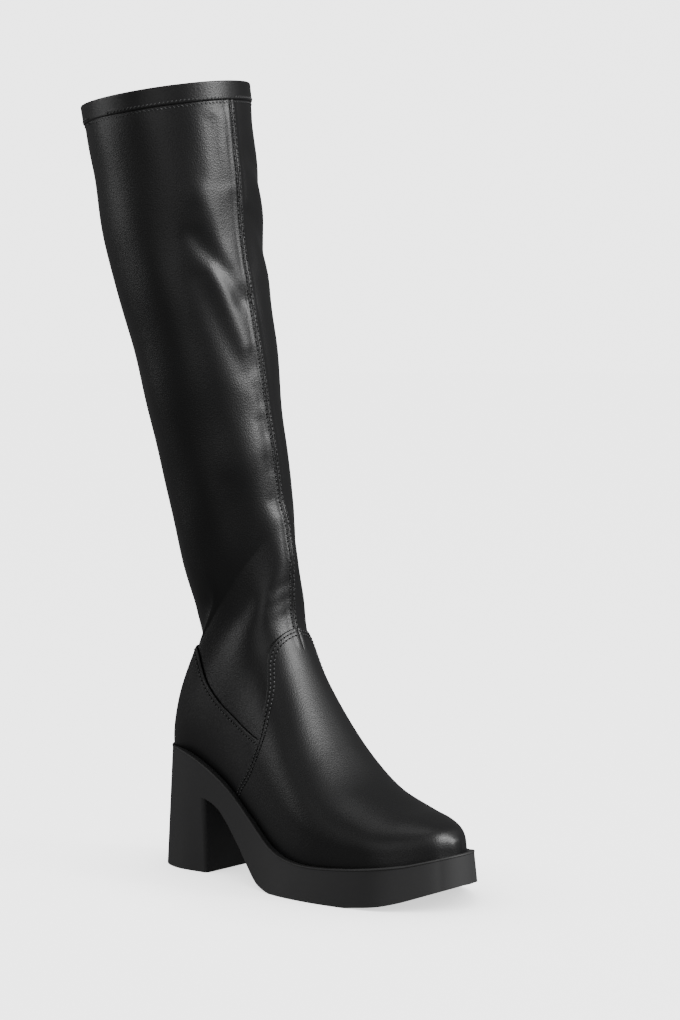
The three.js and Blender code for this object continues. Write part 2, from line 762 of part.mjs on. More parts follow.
function rectangle(left, bottom, right, top) {
  return new THREE.Shape([
    new THREE.Vector2(left, bottom),
    new THREE.Vector2(right, bottom),
    new THREE.Vector2(right, top),
    new THREE.Vector2(left, top),
  ]);
}

// The slider's outline seen from outside: wide at the top, where the two chains part.
function sliderShape() {
  const half = SLIDER_LENGTH / 2;
  const wide = SLIDER_WIDTH / 2;
  const narrow = wide * SLIDER_TAPER;
  const crown = wide * 0.45;
  const shape = new THREE.Shape();
  shape.moveTo(-narrow, -half);
  shape.lineTo(narrow, -half);
  shape.lineTo(wide, half * 0.3);
  shape.quadraticCurveTo(wide, half, crown, half);
  shape.lineTo(-crown, half);
  shape.quadraticCurveTo(-wide, half, -wide, half * 0.3);
  return shape;
}

const slider = sliderFrame();
const barPlace = new THREE.Vector3(0, SLIDER_LENGTH * 0.12, SLIDER_PLATE + BAR_HEIGHT);

function localFrame(origin, first, second, third) {
  const local = new THREE.Matrix4().makeBasis(first, second, third).setPosition(origin);
  return local.premultiply(slider);
}

const acrossAxis = new THREE.Vector3(1, 0, 0);
const upAxis = new THREE.Vector3(0, 1, 0);
const outAxis = new THREE.Vector3(0, 0, 1);

function zipSlider() {
  let body = plate(sliderShape(), SLIDER_PLATE, slider);
  const skirtInner = CHAIN_WIDTH / 2 + CLEARANCE;
  const half = SLIDER_LENGTH / 2;
  const embed = SLIDER_PLATE / 2;
  for (const side of [-1, 1]) {
    const inner = side * skirtInner;
    const outer = side * (skirtInner + SLIDER_SKIRT);
    const skirt = rectangle(Math.min(inner, outer), -half * 0.9, Math.max(inner, outer), half * 0.6);
    const skirtDepth = CHAIN_PROUD + CLEARANCE;
    const frame = localFrame(new THREE.Vector3(0, 0, -skirtDepth), acrossAxis, upAxis, outAxis);
    body = body.add(plate(skirt, skirtDepth + embed, frame));

    // Ears in the plane of up and out, on both sides of the pull's eye
    const ear = new THREE.Shape();
    const foot = BAR_RADIUS * 3;
    const height = barPlace.z + BAR_RADIUS * 1.7;
    ear.moveTo(-foot, embed);
    ear.lineTo(foot, embed);
    ear.quadraticCurveTo(foot, height, 0, height);
    ear.quadraticCurveTo(-foot, height, -foot, embed);
    const start = side > 0 ? EAR_GAP / 2 : -EAR_GAP / 2 - EAR_WIDTH;
    const earFrame = localFrame(new THREE.Vector3(start, barPlace.y, 0), upAxis, outAxis, acrossAxis);
    body = body.add(plate(ear, EAR_WIDTH, earFrame));
  }
  const bar = new THREE.CylinderGeometry(BAR_RADIUS, BAR_RADIUS, EAR_GAP + EAR_WIDTH, 10);
  bar.applyMatrix4(localFrame(barPlace, outAxis, acrossAxis, upAxis));
  return body.add(toSolid(bar));
}

// The pull hangs straight down from the slider's bar, as far as its axis lets it.
function pullFrame() {
  const across = new THREE.Vector3().setFromMatrixColumn(slider, 0);
  const hanging = new THREE.Vector3(0, 0, -1);
  hanging.addScaledVector(across, -hanging.dot(across)).normalize();
  const up = hanging.clone().negate();
  const out = new THREE.Vector3().crossVectors(across, up);
  return new THREE.Matrix4().makeBasis(across, up, out).setPosition(barPlace.clone().applyMatrix4(slider));
}

function zipPull() {
  const frame = pullFrame();
  const neck = EAR_GAP / 2 - CLEARANCE;
  const half = PULL_WIDTH / 2;
  const tip = -PULL_LENGTH;
  const round = half * 0.9;
  const shape = new THREE.Shape();
  shape.moveTo(neck, 0);
  shape.lineTo(-neck, 0);
  shape.lineTo(-neck, -PULL_NECK);
  shape.quadraticCurveTo(-half, -PULL_NECK, -half, -PULL_NECK - half);
  shape.lineTo(-half, tip + round);
  shape.quadraticCurveTo(-half, tip, 0, tip);
  shape.quadraticCurveTo(half, tip, half, tip + round);
  shape.lineTo(half, -PULL_NECK - half);
  shape.quadraticCurveTo(half, -PULL_NECK, neck, -PULL_NECK);
  const flat = frame.clone().multiply(new THREE.Matrix4().makeTranslation(0, 0, -PULL_THICKNESS / 2));
  const lying = new THREE.Matrix4().makeRotationZ(Math.PI / 2);
  const eye = new THREE.CylinderGeometry(PULL_EYE, PULL_EYE, 2 * neck, 16).applyMatrix4(lying);
  const boreRadius = BAR_RADIUS + PIN_CLEARANCE;
  const bore = new THREE.CylinderGeometry(boreRadius, boreRadius, 4 * neck, 16).applyMatrix4(lying);
  return plate(shape, PULL_THICKNESS, flat)
    .add(toSolid(eye.applyMatrix4(frame)))
    .subtract(toSolid(bore.applyMatrix4(frame)));
}

function zipTape() {
  const outer = -UPPER_WALL - CLEARANCE;
  const inner = outer - ZIP_TAPE_THICKNESS;
  const tapeShell = formSolid(outer).subtract(formSolid(inner));
  const chainShell = formSolid(CHAIN_PROUD).subtract(formSolid(inner));
  const tape = tapeShell.intersect(zipStrip(ZIP_TAPE_WIDTH, ZIP_CLEAR_OF_RIM, zipTop + ZIP_TAPE_RUNOUT));
  const chainRoom = zipStrip(CHAIN_WIDTH, ZIP_CLEAR_OF_RIM + CLEARANCE, zipTop - CLEARANCE);
  const chain = chainShell.intersect(chainRoom);
  return tape.add(chain);
}

// Pieces

const belowSeat = seatBand(-REACH, CLEARANCE);
const aboveSeat = seatBand(0, REACH);

function soleUnit() {
  const recess = formSolid(OVERLAY_OUTER + CLEARANCE).intersect(aboveSeat);
  return soleBlock()
    .subtract(underfootCut())
    .subtract(heelCornerCut(1))
    .subtract(heelCornerCut(-1))
    .subtract(recess);
}

function insole() {
  const pad = formSolid(-UPPER_WALL - CLEARANCE);
  return pad.intersect(seatBand(CLEARANCE, CLEARANCE + INSOLE_THICKNESS));
}

function upper() {
  const hem = formSolid(HEM_STEP).intersect(aboveCollar(HEM_HEIGHT));
  return formSolid(0)
    .add(hem)
    .subtract(formSolid(-UPPER_WALL))
    .subtract(aboveCollar(0))
    .subtract(belowSeat)
    .subtract(zipSlot);
}

const overlayShell = formSolid(OVERLAY_OUTER).subtract(formSolid(OVERLAY_INNER)).subtract(belowSeat);

function vamp() {
  const region = vampRegion(VAMP_EDGE_LATERAL, -REACH, 0, 0).add(vampRegion(VAMP_EDGE_MEDIAL, 0, REACH, 0));
  return overlayShell.intersect(region).subtract(zipSlot).subtract(behindZip());
}

// The medial half behind the zip's middle line, which belongs to the counter.
function behindZip() {
  const line = zipSamples.map((p) => p.toArray());
  return sidePrism([...line.reverse(), [-REACH, 0], [-REACH, REACH + zipTop]].reverse(), 0, REACH);
}

function counter() {
  const lateral = counterRegion(-REACH, 0).subtract(vampRegion(VAMP_EDGE_LATERAL, -REACH, 0, CLEARANCE));
  const medial = counterRegion(0, REACH).intersect(behindZip());
  return overlayShell.intersect(lateral.add(medial)).subtract(zipSlot);
}

const boot = new THREE.Group();
boot.name = "boot";
boot.add(toMesh("sole_unit", soleUnit(), rubber));
boot.add(toMesh("insole", insole(), lining));
boot.add(toMesh("upper", upper(), leather));
boot.add(toMesh("vamp", vamp(), leather));
boot.add(toMesh("counter", counter(), leather));
boot.add(toMesh("zip_tape", zipTape(), tapeCloth));
boot.add(toMesh("zip_slider", zipSlider(), darkMetal));
boot.add(toMesh("zip_pull", zipPull(), greyMetal));

export default boot;
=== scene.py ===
import math

import bpy
import bmesh
import numpy as np
from mathutils import Matrix, Vector
from mathutils.bvhtree import BVHTree


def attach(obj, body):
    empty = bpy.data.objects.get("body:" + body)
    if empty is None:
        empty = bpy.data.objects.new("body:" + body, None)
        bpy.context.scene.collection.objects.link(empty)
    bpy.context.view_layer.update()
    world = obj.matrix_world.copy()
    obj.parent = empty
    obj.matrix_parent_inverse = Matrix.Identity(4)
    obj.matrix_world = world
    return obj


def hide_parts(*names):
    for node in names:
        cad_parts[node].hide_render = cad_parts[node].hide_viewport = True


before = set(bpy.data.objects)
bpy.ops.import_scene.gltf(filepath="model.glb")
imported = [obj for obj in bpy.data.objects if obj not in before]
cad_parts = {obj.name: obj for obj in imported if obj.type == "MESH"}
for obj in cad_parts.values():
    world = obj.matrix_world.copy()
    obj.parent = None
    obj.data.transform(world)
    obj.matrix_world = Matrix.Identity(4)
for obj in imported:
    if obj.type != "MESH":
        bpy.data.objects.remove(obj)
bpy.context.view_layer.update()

# A right knee-high boot with a platform sole and a block heel.
# Sizes are in millimetres and turned into metres where a mesh is made. In the side view,
# "along" runs from the heel's back to the toe and z is the height over the floor.
# x is how far a point lies to the inner (medial) side.

MM = 0.001

# Sole and upper, the same driving sizes as the solids
SOLE_LENGTH = 240
BALL_WIDTH = 93
HEEL_HEIGHT = 80
PLATFORM_HEIGHT = 22
TOE_SPRING = 15
WALL_FLARE = 3.4
HEEL_DEPTH = 51
HEEL_CORNER = 3
RECESS = 4
INSTEP_RISE = 104
SHAFT_RISE = 435
SHAFT_DEPTH = 110.5
SHAFT_WIDTH = 104.6
COLLAR_DROP = 14.5
SIDE_LEAN = 25.5
SIDE_DROP = 6
UPPER_WALL = 1.5
OVERLAY_WALL = 1.4
HEM_HEIGHT = 12.5
HEM_STEP = 0.8
INSOLE_THICKNESS = 3
TUCK = 6
ZIP_TOP = 225
ZIP_CLEAR_OF_RIM = 3
ZIP_SLOT_WIDTH = 9
ZIP_TAPE_WIDTH = 20
ZIP_TAPE_RUNOUT = 5
SLIDER_LENGTH = 10
CLEARANCE = 0.3
LEAN_FROM = 0.195
LEG_ROUNDNESS = 2.05

OVERLAY_OUTER = CLEARANCE + OVERLAY_WALL
HEEL_BACK = -WALL_FLARE * 1.1
ORIGIN_ALONG = HEEL_BACK + HEEL_DEPTH / 2
REACH = 300

# along, half widths (shares of BALL_WIDTH) and splay (share of WALL_FLARE)
OUTLINE = {
    "along": [0.0, 0.03, 0.1, 0.22, 0.36, 0.5, 0.62, 0.74, 0.84, 0.92, 0.97, 1.0],
    "lateral": [0.0, 0.185, 0.292, 0.35, 0.413, 0.5, 0.534, 0.512, 0.457, 0.332, 0.2, 0.0],
    "medial": [0.0, 0.19, 0.292, 0.34, 0.36, 0.413, 0.464, 0.489, 0.465, 0.325, 0.175, 0.0],
    "splay": [1.1, 1.1, 0.5, -1.1, 0.2, 1.0, 1.0, 1.0, 1.0, 1.0, 1.0, 1.0],
}

# heel is a share of the heel's rise over the platform, toe a share of TOE_SPRING
RIM_LINE = {
    "along": [0.0, 0.1, 0.2, 0.3, 0.4, 0.5, 0.6, 0.75, 0.9, 1.0],
    "heel": [1.0, 0.985, 0.86, 0.655, 0.36, 0.09, 0.0, 0.0, 0.0, 0.0],
    "toe": [0.0, 0.0, 0.0, 0.0, 0.0, 0.0, 0.01, 0.11, 0.42, 0.84],
}
UNDERSIDE = {
    "along": [0.19, 0.235, 0.28, 0.35, 0.4, 0.44, 0.5, 0.54, 0.7, 0.78, 0.88, 1.0],
    "heel": [0.865, 0.815, 0.695, 0.415, 0.2, 0.068, 0.0, -0.02, -0.02, 0.0, 0.0, 0.0],
    "toe": [0.0, 0.0, 0.0, 0.0, 0.0, 0.0, 0.0, 0.0, 0.0, 0.05, 0.3, 1.0],
}

# Sections of the foot, from toe to heel. bottom and top are shares of SOLE_LENGTH, rise of
# INSTEP_RISE, lateral and medial of BALL_WIDTH.
FOOT_ROWS = {
    "bottom": [0.964, 0.948, 0.9, 0.828, 0.712, 0.605, 0.498, 0.383, 0.259, 0.134, 0.022],
    "top": [0.963, 0.935, 0.868, 0.785, 0.678, 0.592, 0.517, 0.454, 0.412, 0.405, 0.404],
    "rise": [0.105, 0.175, 0.245, 0.31, 0.46, 0.67, 0.87, 0.95, 1.0, 1.115, 1.26],
    "lateral": [0.078, 0.2, 0.336, 0.44, 0.495, 0.512, 0.476, 0.415, 0.366, 0.342, 0.322],
    "medial": [0.064, 0.182, 0.33, 0.442, 0.463, 0.444, 0.397, 0.36, 0.348, 0.342, 0.33],
    "wide": [0.6, 0.56, 0.52, 0.48, 0.45, 0.44, 0.445, 0.43, 0.435, 0.466, 0.49],
    "crown": [2.6, 2.6, 2.4, 2.25, 2.1, 2.05, 2.05, 2.05, 2.15, 2.2, 2.1],
    "base": [2.6, 3.2, 4.2, 4.6, 5.2, 5.4, 5.2, 4.8, 4.2, 3.3, 2.4],
}

# Sections of the leg. back and front are shares of SHAFT_DEPTH, the rises of SHAFT_RISE,
# lateral and medial of SHAFT_WIDTH.
LEG_ROWS = {
    "back": [0.031, 0.15, 0.285, 0.26, 0.185, 0.104, 0.023, -0.077, -0.212, -0.314],
    "backRise": [0.032, 0.076, 0.135, 0.195, 0.271, 0.364, 0.468, 0.583, 0.711, 0.832],
    "front": [0.853, 0.833, 0.806, 0.794, 0.782, 0.755, 0.729, 0.685, 0.639, 0.627],
    "frontRise": [0.333, 0.36, 0.387, 0.421, 0.463, 0.518, 0.586, 0.668, 0.768, 0.872],
    "lateral": [0.29, 0.29, 0.292, 0.315, 0.352, 0.375, 0.415, 0.451, 0.488, 0.502],
    "medial": [0.295, 0.308, 0.32, 0.338, 0.352, 0.375, 0.416, 0.452, 0.488, 0.502],
    "covered": [1, 0.8, 0.4, 0, 0, 0, 0, 0, 0, 0],
}
COLLAR_ROW = {"back": -0.4, "front": 0.6, "half": 0.5}

# Edges of the overlays: along is a share of SOLE_LENGTH, rise of INSTEP_RISE over the heel's rim
VAMP_EDGE_LATERAL = {
    "along": [0.438, 0.42, 0.408, 0.41, 0.424, 0.427, 0.424, 0.4, 0.37, 0.33, 0.3],
    "rise": [0.85, 0.775, 0.69, 0.59, 0.47, 0.36, 0.18, 0.04, -0.08, -0.19, -0.32],
}
VAMP_EDGE_MEDIAL = {
    "along": [0.438, 0.42, 0.413, 0.418, 0.43, 0.425, 0.395, 0.355, 0.3, 0.22],
    "rise": [0.85, 0.775, 0.69, 0.59, 0.44, 0.3, 0.185, 0.12, 0.09, 0.08],
}
COUNTER_EDGE = {
    "along": [-0.1, 0.06, 0.13, 0.165, 0.18, 0.2, 0.25, 0.31, 0.37, 0.43, 0.5],
    "rise": [0.74, 0.73, 0.71, 0.65, 0.55, 0.45, 0.34, 0.255, 0.18, 0.13, 0.09],
}

# The zip's middle line: along is a share of SOLE_LENGTH, rise of ZIP_TOP
ZIP_LINE = {
    "along": [0.31, 0.295, 0.275, 0.252, 0.225, 0.19, 0.177],
    "rise": [-0.12, 0.02, 0.14, 0.34, 0.66, 1.0, 1.12],
}

# Soft folds of the shaft: rise outwards, soft width, and the fold's line. Its points
# are [distance round from the front seam, negative on the medial side, height over the floor].
FOLDS = [
    (1.1, 8.8, [[29, 441], [20, 423], [15, 409], [9, 388]]),
    (-1.4, 7.4, [[35, 415], [25, 401], [16, 392], [8, 376]]),
    (1, 7.4, [[27, 394], [21, 378], [17, 362], [12, 346]]),
    (-1.1, 9.5, [[36, 388], [28, 366], [21, 348], [14, 330]]),
    (0.65, 6.1, [[7, 494], [9, 472], [6, 448]]),
    (-0.72, 7.4, [[17, 488], [15, 470], [12, 452]]),
    (0.65, 6.8, [[-7, 458], [-8, 440]]),
    (-0.58, 6.8, [[-10, 428], [-9, 400]]),
    (0.43, 6.8, [[-8, 388], [-10, 366]]),
    (-0.43, 4.6, [[3, 192], [18, 188]]),
    (-0.5, 4.6, [[4, 183], [20, 177]]),
    (-0.5, 4.3, [[3, 174], [17, 168]]),
    (-0.72, 12, [[40, 255], [41, 215], [43, 170]]),
    (-0.43, 4.9, [[7, 341], [5, 334]]),
    (-0.36, 4.6, [[7, 318], [5, 311]]),
    (-0.43, 4.6, [[7, 297], [5, 291]]),
    (-0.29, 4.3, [[7, 272], [5, 267]]),
    (-0.36, 4.3, [[7, 246], [5, 240]]),
    (-0.79, 8.1, [[92, 178], [104, 172], [112, 173]]),
    (0.5, 9.5, [[84, 196], [100, 200]]),
    (-1.2, 8.8, [[-18, 468], [-42, 446], [-66, 438]]),
    (1, 8.1, [[-22, 450], [-44, 428], [-60, 416]]),
    (-1.1, 8.1, [[-20, 424], [-40, 404], [-68, 396]]),
    (0.72, 9.5, [[-30, 392], [-54, 372]]),
    (-0.72, 9.5, [[-44, 360], [-74, 342], [-88, 326]]),
    (-0.65, 8.1, [[-36, 250], [-60, 236], [-74, 238]]),
    (-0.65, 7.4, [[-30, 214], [-56, 200], [-70, 203]]),
    (-0.86, 16, [[130, 452], [150, 430], [160, 400]]),
    (-0.72, 16, [[-140, 470], [-150, 430]]),
]

# How finely the forms are divided, in millimetres
LEATHER_CELL = 1.56
LINING_CELL = 4
CUTTER_CELL = 3
SEAM_STEPS = [0.3, 0.8, 1.7, 2.7, 3.5, 4.2]

# Small shapes
TOE_DOME = 1.0
SEAM_RISE = 0.35
SEAM_GROOVE = 0.75
SEAM_ROW_SHIFT = 2.4
STITCH_ARCH = [-1.3, 0.4, 0.75, 0.4, -1.3]
COVER_ARCH = [-1.3, 0.2, 0.45, 0.2, -1.3]
HOLE_RADIUS = 0.45
LIP_DROP = 0.75
LIP_RADIUS = 0.8
LIP_INSET = 0.45


# Curves and tables

def lengths_of(points):
    """How far along a line each of its points lies."""
    return np.concatenate([[0], np.cumsum(np.linalg.norm(np.diff(points, axis=0), axis=1))])


def at_lengths(where, lengths, rows):
    return np.stack([np.interp(where, lengths, rows[:, c]) for c in range(3)], axis=1)


def resampled(values, count):
    return np.interp(np.linspace(0, 1, count), np.linspace(0, 1, len(values)), values)


def smooth_at(values, u):
    values = np.asarray(values, float)
    u = np.asarray(u, float)
    last = len(values) - 1
    i = np.clip(np.floor(u).astype(int), 0, last - 1)
    before = np.where(i > 0, values[np.maximum(i - 1, 0)], 2 * values[0] - values[1])
    past = 2 * values[last] - values[last - 1]
    after = np.where(i + 2 <= last, values[np.minimum(i + 2, last)], past)
    here = values[i]
    there = values[i + 1]
    t = u - i
    slope_from = (there - before) / 2
    slope_to = (after - here) / 2
    ends = here * (2 * t**3 - 3 * t**2 + 1) + there * (3 * t**2 - 2 * t**3)
    return ends + slope_from * (t**3 - 2 * t**2 + t) + slope_to * (t**3 - t**2)


def look_up(keys, value, column):
    keys = np.asarray(keys, float)
    value = np.clip(value, keys[0], keys[-1])
    i = np.clip(np.searchsorted(keys, value, side="left") - 1, 0, len(keys) - 2)
    return smooth_at(column, i + (value - keys[i]) / (keys[i + 1] - keys[i]))


def height_at(line, along):
    share = np.asarray(along, float) / SOLE_LENGTH
    heel = look_up(line["along"], share, line["heel"]) * (HEEL_HEIGHT - PLATFORM_HEIGHT)
    return heel + look_up(line["along"], share, line["toe"]) * TOE_SPRING


def rim_height(along):
    return PLATFORM_HEIGHT + height_at(RIM_LINE, along)


def seat_height(along):
    return rim_height(along) - RECESS


def smooth_line(table, unit, steps):
    """A table's along and rise as a smooth line of side-view points."""
    u = np.linspace(0, len(table["along"]) - 1, steps * (len(table["along"]) - 1) + 1)
    along = smooth_at(table["along"], u) * SOLE_LENGTH
    return np.stack([along, HEEL_HEIGHT + smooth_at(table["rise"], u) * unit], axis=1)


# The upper's form

def section_rows():
    foot = {key: np.array(values) for key, values in FOOT_ROWS.items()}
    leg = {key: np.array(values) for key, values in LEG_ROWS.items()}
    bottom = foot["bottom"] * SOLE_LENGTH
    covered = OVERLAY_OUTER * leg["covered"]
    leg_count = len(covered)
    collar = {
        "back_along": COLLAR_ROW["back"] * SHAFT_DEPTH,
        "back_z": HEEL_HEIGHT + SHAFT_RISE - COLLAR_DROP,
        "front_along": COLLAR_ROW["front"] * SHAFT_DEPTH,
        "front_z": HEEL_HEIGHT + SHAFT_RISE,
        "lateral": COLLAR_ROW["half"] * SHAFT_WIDTH,
        "medial": COLLAR_ROW["half"] * SHAFT_WIDTH,
    }
    columns = {
        "back_along": (bottom, leg["back"] * SHAFT_DEPTH + covered),
        "back_z": (seat_height(bottom) - TUCK, HEEL_HEIGHT + leg["backRise"] * SHAFT_RISE),
        "front_along": (foot["top"] * SOLE_LENGTH, leg["front"] * SHAFT_DEPTH),
        "front_z": (
            rim_height(bottom) + foot["rise"] * INSTEP_RISE - OVERLAY_OUTER,
            HEEL_HEIGHT + leg["frontRise"] * SHAFT_RISE,
        ),
        "lateral": (foot["lateral"] * BALL_WIDTH - OVERLAY_OUTER, leg["lateral"] * SHAFT_WIDTH - covered),
        "medial": (foot["medial"] * BALL_WIDTH - OVERLAY_OUTER, leg["medial"] * SHAFT_WIDTH - covered),
    }
    rows = {}
    for key, (foot_part, leg_part) in columns.items():
        beyond = collar[key]
        if key not in ("lateral", "medial"):
            beyond += (collar[key] - leg_part[-1]) * 0.4
        rows[key] = np.concatenate([foot_part, leg_part, [collar[key], beyond]])
    tail = leg_count + 2
    rows["wide"] = np.concatenate([foot["wide"], np.full(tail, 0.5)])
    rows["crown"] = np.concatenate([foot["crown"], np.full(tail, LEG_ROUNDNESS)])
    rows["base"] = np.concatenate([foot["base"], np.full(tail, LEG_ROUNDNESS)])
    return rows


ROWS = section_rows()
ROW_COUNT = len(ROWS["wide"])
COLLAR_U = ROW_COUNT - 2


def power(value, exponent):
    return np.sign(value) * np.abs(value) ** exponent


def form_point(u, angle):
    """Points of the form, in millimetres. angle runs from the front over the lateral side."""
    row = {key: smooth_at(values, u) for key, values in ROWS.items()}
    lean_from = HEEL_HEIGHT + LEAN_FROM * SHAFT_RISE
    collar_height = (ROWS["back_z"][COLLAR_U] + ROWS["front_z"][COLLAR_U]) / 2
    lean = np.maximum(0, ((row["back_z"] + row["front_z"]) / 2 - lean_from) / (collar_height - lean_from))
    cosine = np.cos(angle)
    sine = np.sin(angle)
    exponent = 2 / np.where(cosine >= 0, row["crown"], row["base"])
    reach = np.where(cosine >= 0, 1 - row["wide"], row["wide"])
    share = row["wide"] + reach * power(cosine, exponent)
    x = np.where(sine >= 0, -row["lateral"], -row["medial"]) * power(sine, exponent)
    along = row["back_along"] + (row["front_along"] - row["back_along"]) * share
    z = row["back_z"] + (row["front_z"] - row["back_z"]) * share + lean * SIDE_DROP * x / SHAFT_WIDTH
    return np.stack([x - lean * SIDE_LEAN, ORIGIN_ALONG - along, z], axis=-1)


def even_angles(u, quarter_cells):
    """Angles that divide each quarter of a section into cells of one length."""
    dense = np.linspace(0, 1, 160)
    # closer together at the quarter's ends, where a flat side would be stepped over
    for _ in range(2):
        dense = (1 - np.cos(np.pi * dense)) / 2
    angles = []
    for quarter in range(4):
        span = (quarter + dense) * np.pi / 2
        lengths = lengths_of(form_point(np.full(len(span), u), span))
        targets = np.linspace(0, lengths[-1], quarter_cells + 1)[:-1]
        angles.append(np.interp(targets, lengths, span))
        if quarter == 0:
            front = np.interp(SEAM_STEPS, lengths, span)
        if quarter == 3:
            rear = np.interp(lengths[-1] - np.array(SEAM_STEPS[::-1]), lengths, span)
    lateral = angles[0][angles[0] > front[-1] * 1.3]
    lateral = resampled(lateral, quarter_cells - 2)
    medial = angles[3][angles[3] < rear[0] - (2 * np.pi - rear[0]) * 0.3]
    medial = resampled(medial, quarter_cells - 2)
    return np.concatenate([[0], front, lateral, angles[1], angles[2], medial, rear])


def even_rows(cell, first, last):
    """Places u of rows that lie about one cell apart on the side where they are widest apart."""
    u = np.linspace(first, last, 60 * ROW_COUNT)
    angles = np.linspace(0, 2 * np.pi, 13)[:-1]
    points = form_point(u[:, None], angles[None, :])
    steps = np.linalg.norm(np.diff(points, axis=0), axis=2).max(axis=1)
    lengths = np.concatenate([[0], np.cumsum(steps)])
    count = max(8, int(round(lengths[-1] / cell)))
    return np.interp(np.linspace(0, lengths[-1], count + 1), lengths, u)


def line_distance(s, z, line):
    """The distance of places to a folded line, in the (s, z) map of the shaft."""
    best = np.full(s.shape, np.inf)
    for (s0, z0), (s1, z1) in zip(line[:-1], line[1:]):
        size = (s1 - s0) ** 2 + (z1 - z0) ** 2
        t = np.clip(((s - s0) * (s1 - s0) + (z - z0) * (z1 - z0)) / size, 0, 1)
        best = np.minimum(best, np.hypot(s - s0 - t * (s1 - s0), z - z0 - t * (z1 - z0)))
    return best


def ramp(value, low, high):
    t = np.clip((value - low) / (high - low), 0, 1)
    return t * t * (3 - 2 * t)


def relief(s, points):
    """How far the leather stands out of the plain form: folds, slack and the front seam."""
    z = points[..., 2]
    along = ORIGIN_ALONG - points[..., 1]
    rise = np.zeros(s.shape)
    for fold_rise, width, line in FOLDS:
        rise += fold_rise * np.exp(-(line_distance(s, z, line) / width) ** 2)
    slack = 0.45 * np.sin(0.047 * z + 0.028 * s + 1.0) * np.sin(0.052 * s - 0.019 * z)
    slack += 0.3 * np.sin(0.083 * z - 0.061 * s + 2.2) * np.sin(0.03 * z + 0.09 * s + 0.4)
    leg = ramp(z, 150, 190) * (1 - ramp(z, 488, 500))
    from_zip = np.where(points[..., 0] > 0, np.abs(along - zip_along(z)), 60)
    beside_zip = (1 - ramp(from_zip, 11, 26)) * (1 - ramp(z, ZIP_HIGH + 6, ZIP_HIGH + 46))
    side = np.abs(s)
    rise = (rise + slack * ramp(side, 4, 16)) * leg * (1 - beside_zip)
    seam = SEAM_RISE * (1 - ramp(side, 3.3, 4.2)) - SEAM_GROOVE * np.exp(-(side / 0.42) ** 2)
    above_vamp = ramp(z, 148, 156) * (along < 110)
    return rise + seam * above_vamp


class Form:
    """The upper's form as a fine grid of points with normals."""

    def __init__(self, cell, first=0.0, last=ROW_COUNT - 1.0, folded=False):
        self.u = even_rows(cell, first, last)
        quarter = int(round(340 / cell / 4))
        angles = np.array([even_angles(u, quarter) for u in self.u])
        self.points = form_point(self.u[:, None], angles)
        if folded:
            steps = np.linalg.norm(np.diff(self.points, axis=1, append=self.points[:, :1]), axis=2)
            ahead = np.concatenate([np.zeros((len(steps), 1)), np.cumsum(steps, axis=1)], axis=1)
            whole = ahead[:, -1:]
            ahead = ahead[:, :-1]
            s = np.where(ahead > whole / 2, ahead - whole, ahead)
            self.measure()
            self.points = self.points + self.normals * relief(s, self.points)[..., None]
        if first == 0.0:
            self.points = np.concatenate([self.toe_dome(), self.points])
        self.measure()
        self.count, self.around = self.points.shape[:2]

    def toe_dome(self):
        """Rings that close the toe's end with a soft dome."""
        edge = self.points[0]
        middle = edge.mean(axis=0)
        rings = []
        for share in (0.02, 0.2, 0.4, 0.6, 0.8):
            ahead = np.array([0, -TOE_DOME, 0]) * (1 - share * share)
            rings.append(middle + (edge - middle) * share + ahead)
        return np.array(rings)

    def measure(self):
        down = np.gradient(self.points, axis=0)
        wrapped = np.concatenate([self.points[:, -1:], self.points, self.points[:, :1]], axis=1)
        round_ = (wrapped[:, 2:] - wrapped[:, :-2]) / 2
        normals = np.cross(down, round_)
        normals /= np.maximum(np.linalg.norm(normals, axis=2, keepdims=True), 1e-9)
        outwards = self.points - self.points.mean(axis=1, keepdims=True)
        self.normals = -normals if (normals * outwards).sum() < 0 else normals

    def sheet(self, offset):
        """The form moved out by offset, as (vertices, quads)."""
        vertices = (self.points + self.normals * offset).reshape(-1, 3)
        i = np.arange(self.count - 1)[:, None] * self.around
        j = np.arange(self.around)[None, :]
        k = (j + 1) % self.around
        quads = np.stack([i + j, i + k, i + self.around + k, i + self.around + j], axis=-1)
        return vertices, quads.reshape(-1, 4)


def trim(vertices, faces, value):
    """Keeps the faces where value(vertices) is below 0. Vertices next to the line move onto it."""
    level = value(vertices)
    edges = np.stack([faces.ravel(), np.roll(faces, -1, axis=1).ravel()], axis=1)
    edges = np.unique(np.sort(edges, axis=1), axis=0)
    edges = edges[edges[:, 0] != edges[:, 1]]
    a, b = edges[:, 0], edges[:, 1]
    crossing = level[a] * level[b] < 0
    a, b = a[crossing], b[crossing]
    t = level[a] / (level[a] - level[b])
    near = np.where(t < 0.5, a, b)
    far = np.where(t < 0.5, b, a)
    share = np.where(t < 0.5, t, 1 - t)
    length = share * np.linalg.norm(vertices[a] - vertices[b], axis=1)
    moved = vertices.copy()
    for k in np.argsort(-length):
        moved[near[k]] = vertices[near[k]] + (vertices[far[k]] - vertices[near[k]]) * share[k]
        level[near[k]] = 0
    signs = np.sign(np.where(np.abs(level) < 1e-9, 0, level))[faces]
    outside = (signs > 0).sum(axis=1)
    inside = (signs < 0).sum(axis=1)
    kept = [tuple(face) for face in faces[(outside == 0) & (inside > 0)]]
    corner = (outside == 1) & (inside > 0)
    for face, sign in zip(faces[corner], signs[corner]):
        at = int(np.argmax(sign > 0))
        kept.append(tuple(face[(at + step) % 4] for step in (1, 2, 3)))
    return moved, kept


def compact(vertices, faces):
    used = np.unique(np.concatenate([np.asarray(face) for face in faces]))
    index = np.full(len(vertices), -1)
    index[used] = np.arange(len(used))
    return vertices[used], [tuple(int(index[v]) for v in face) for face in faces]


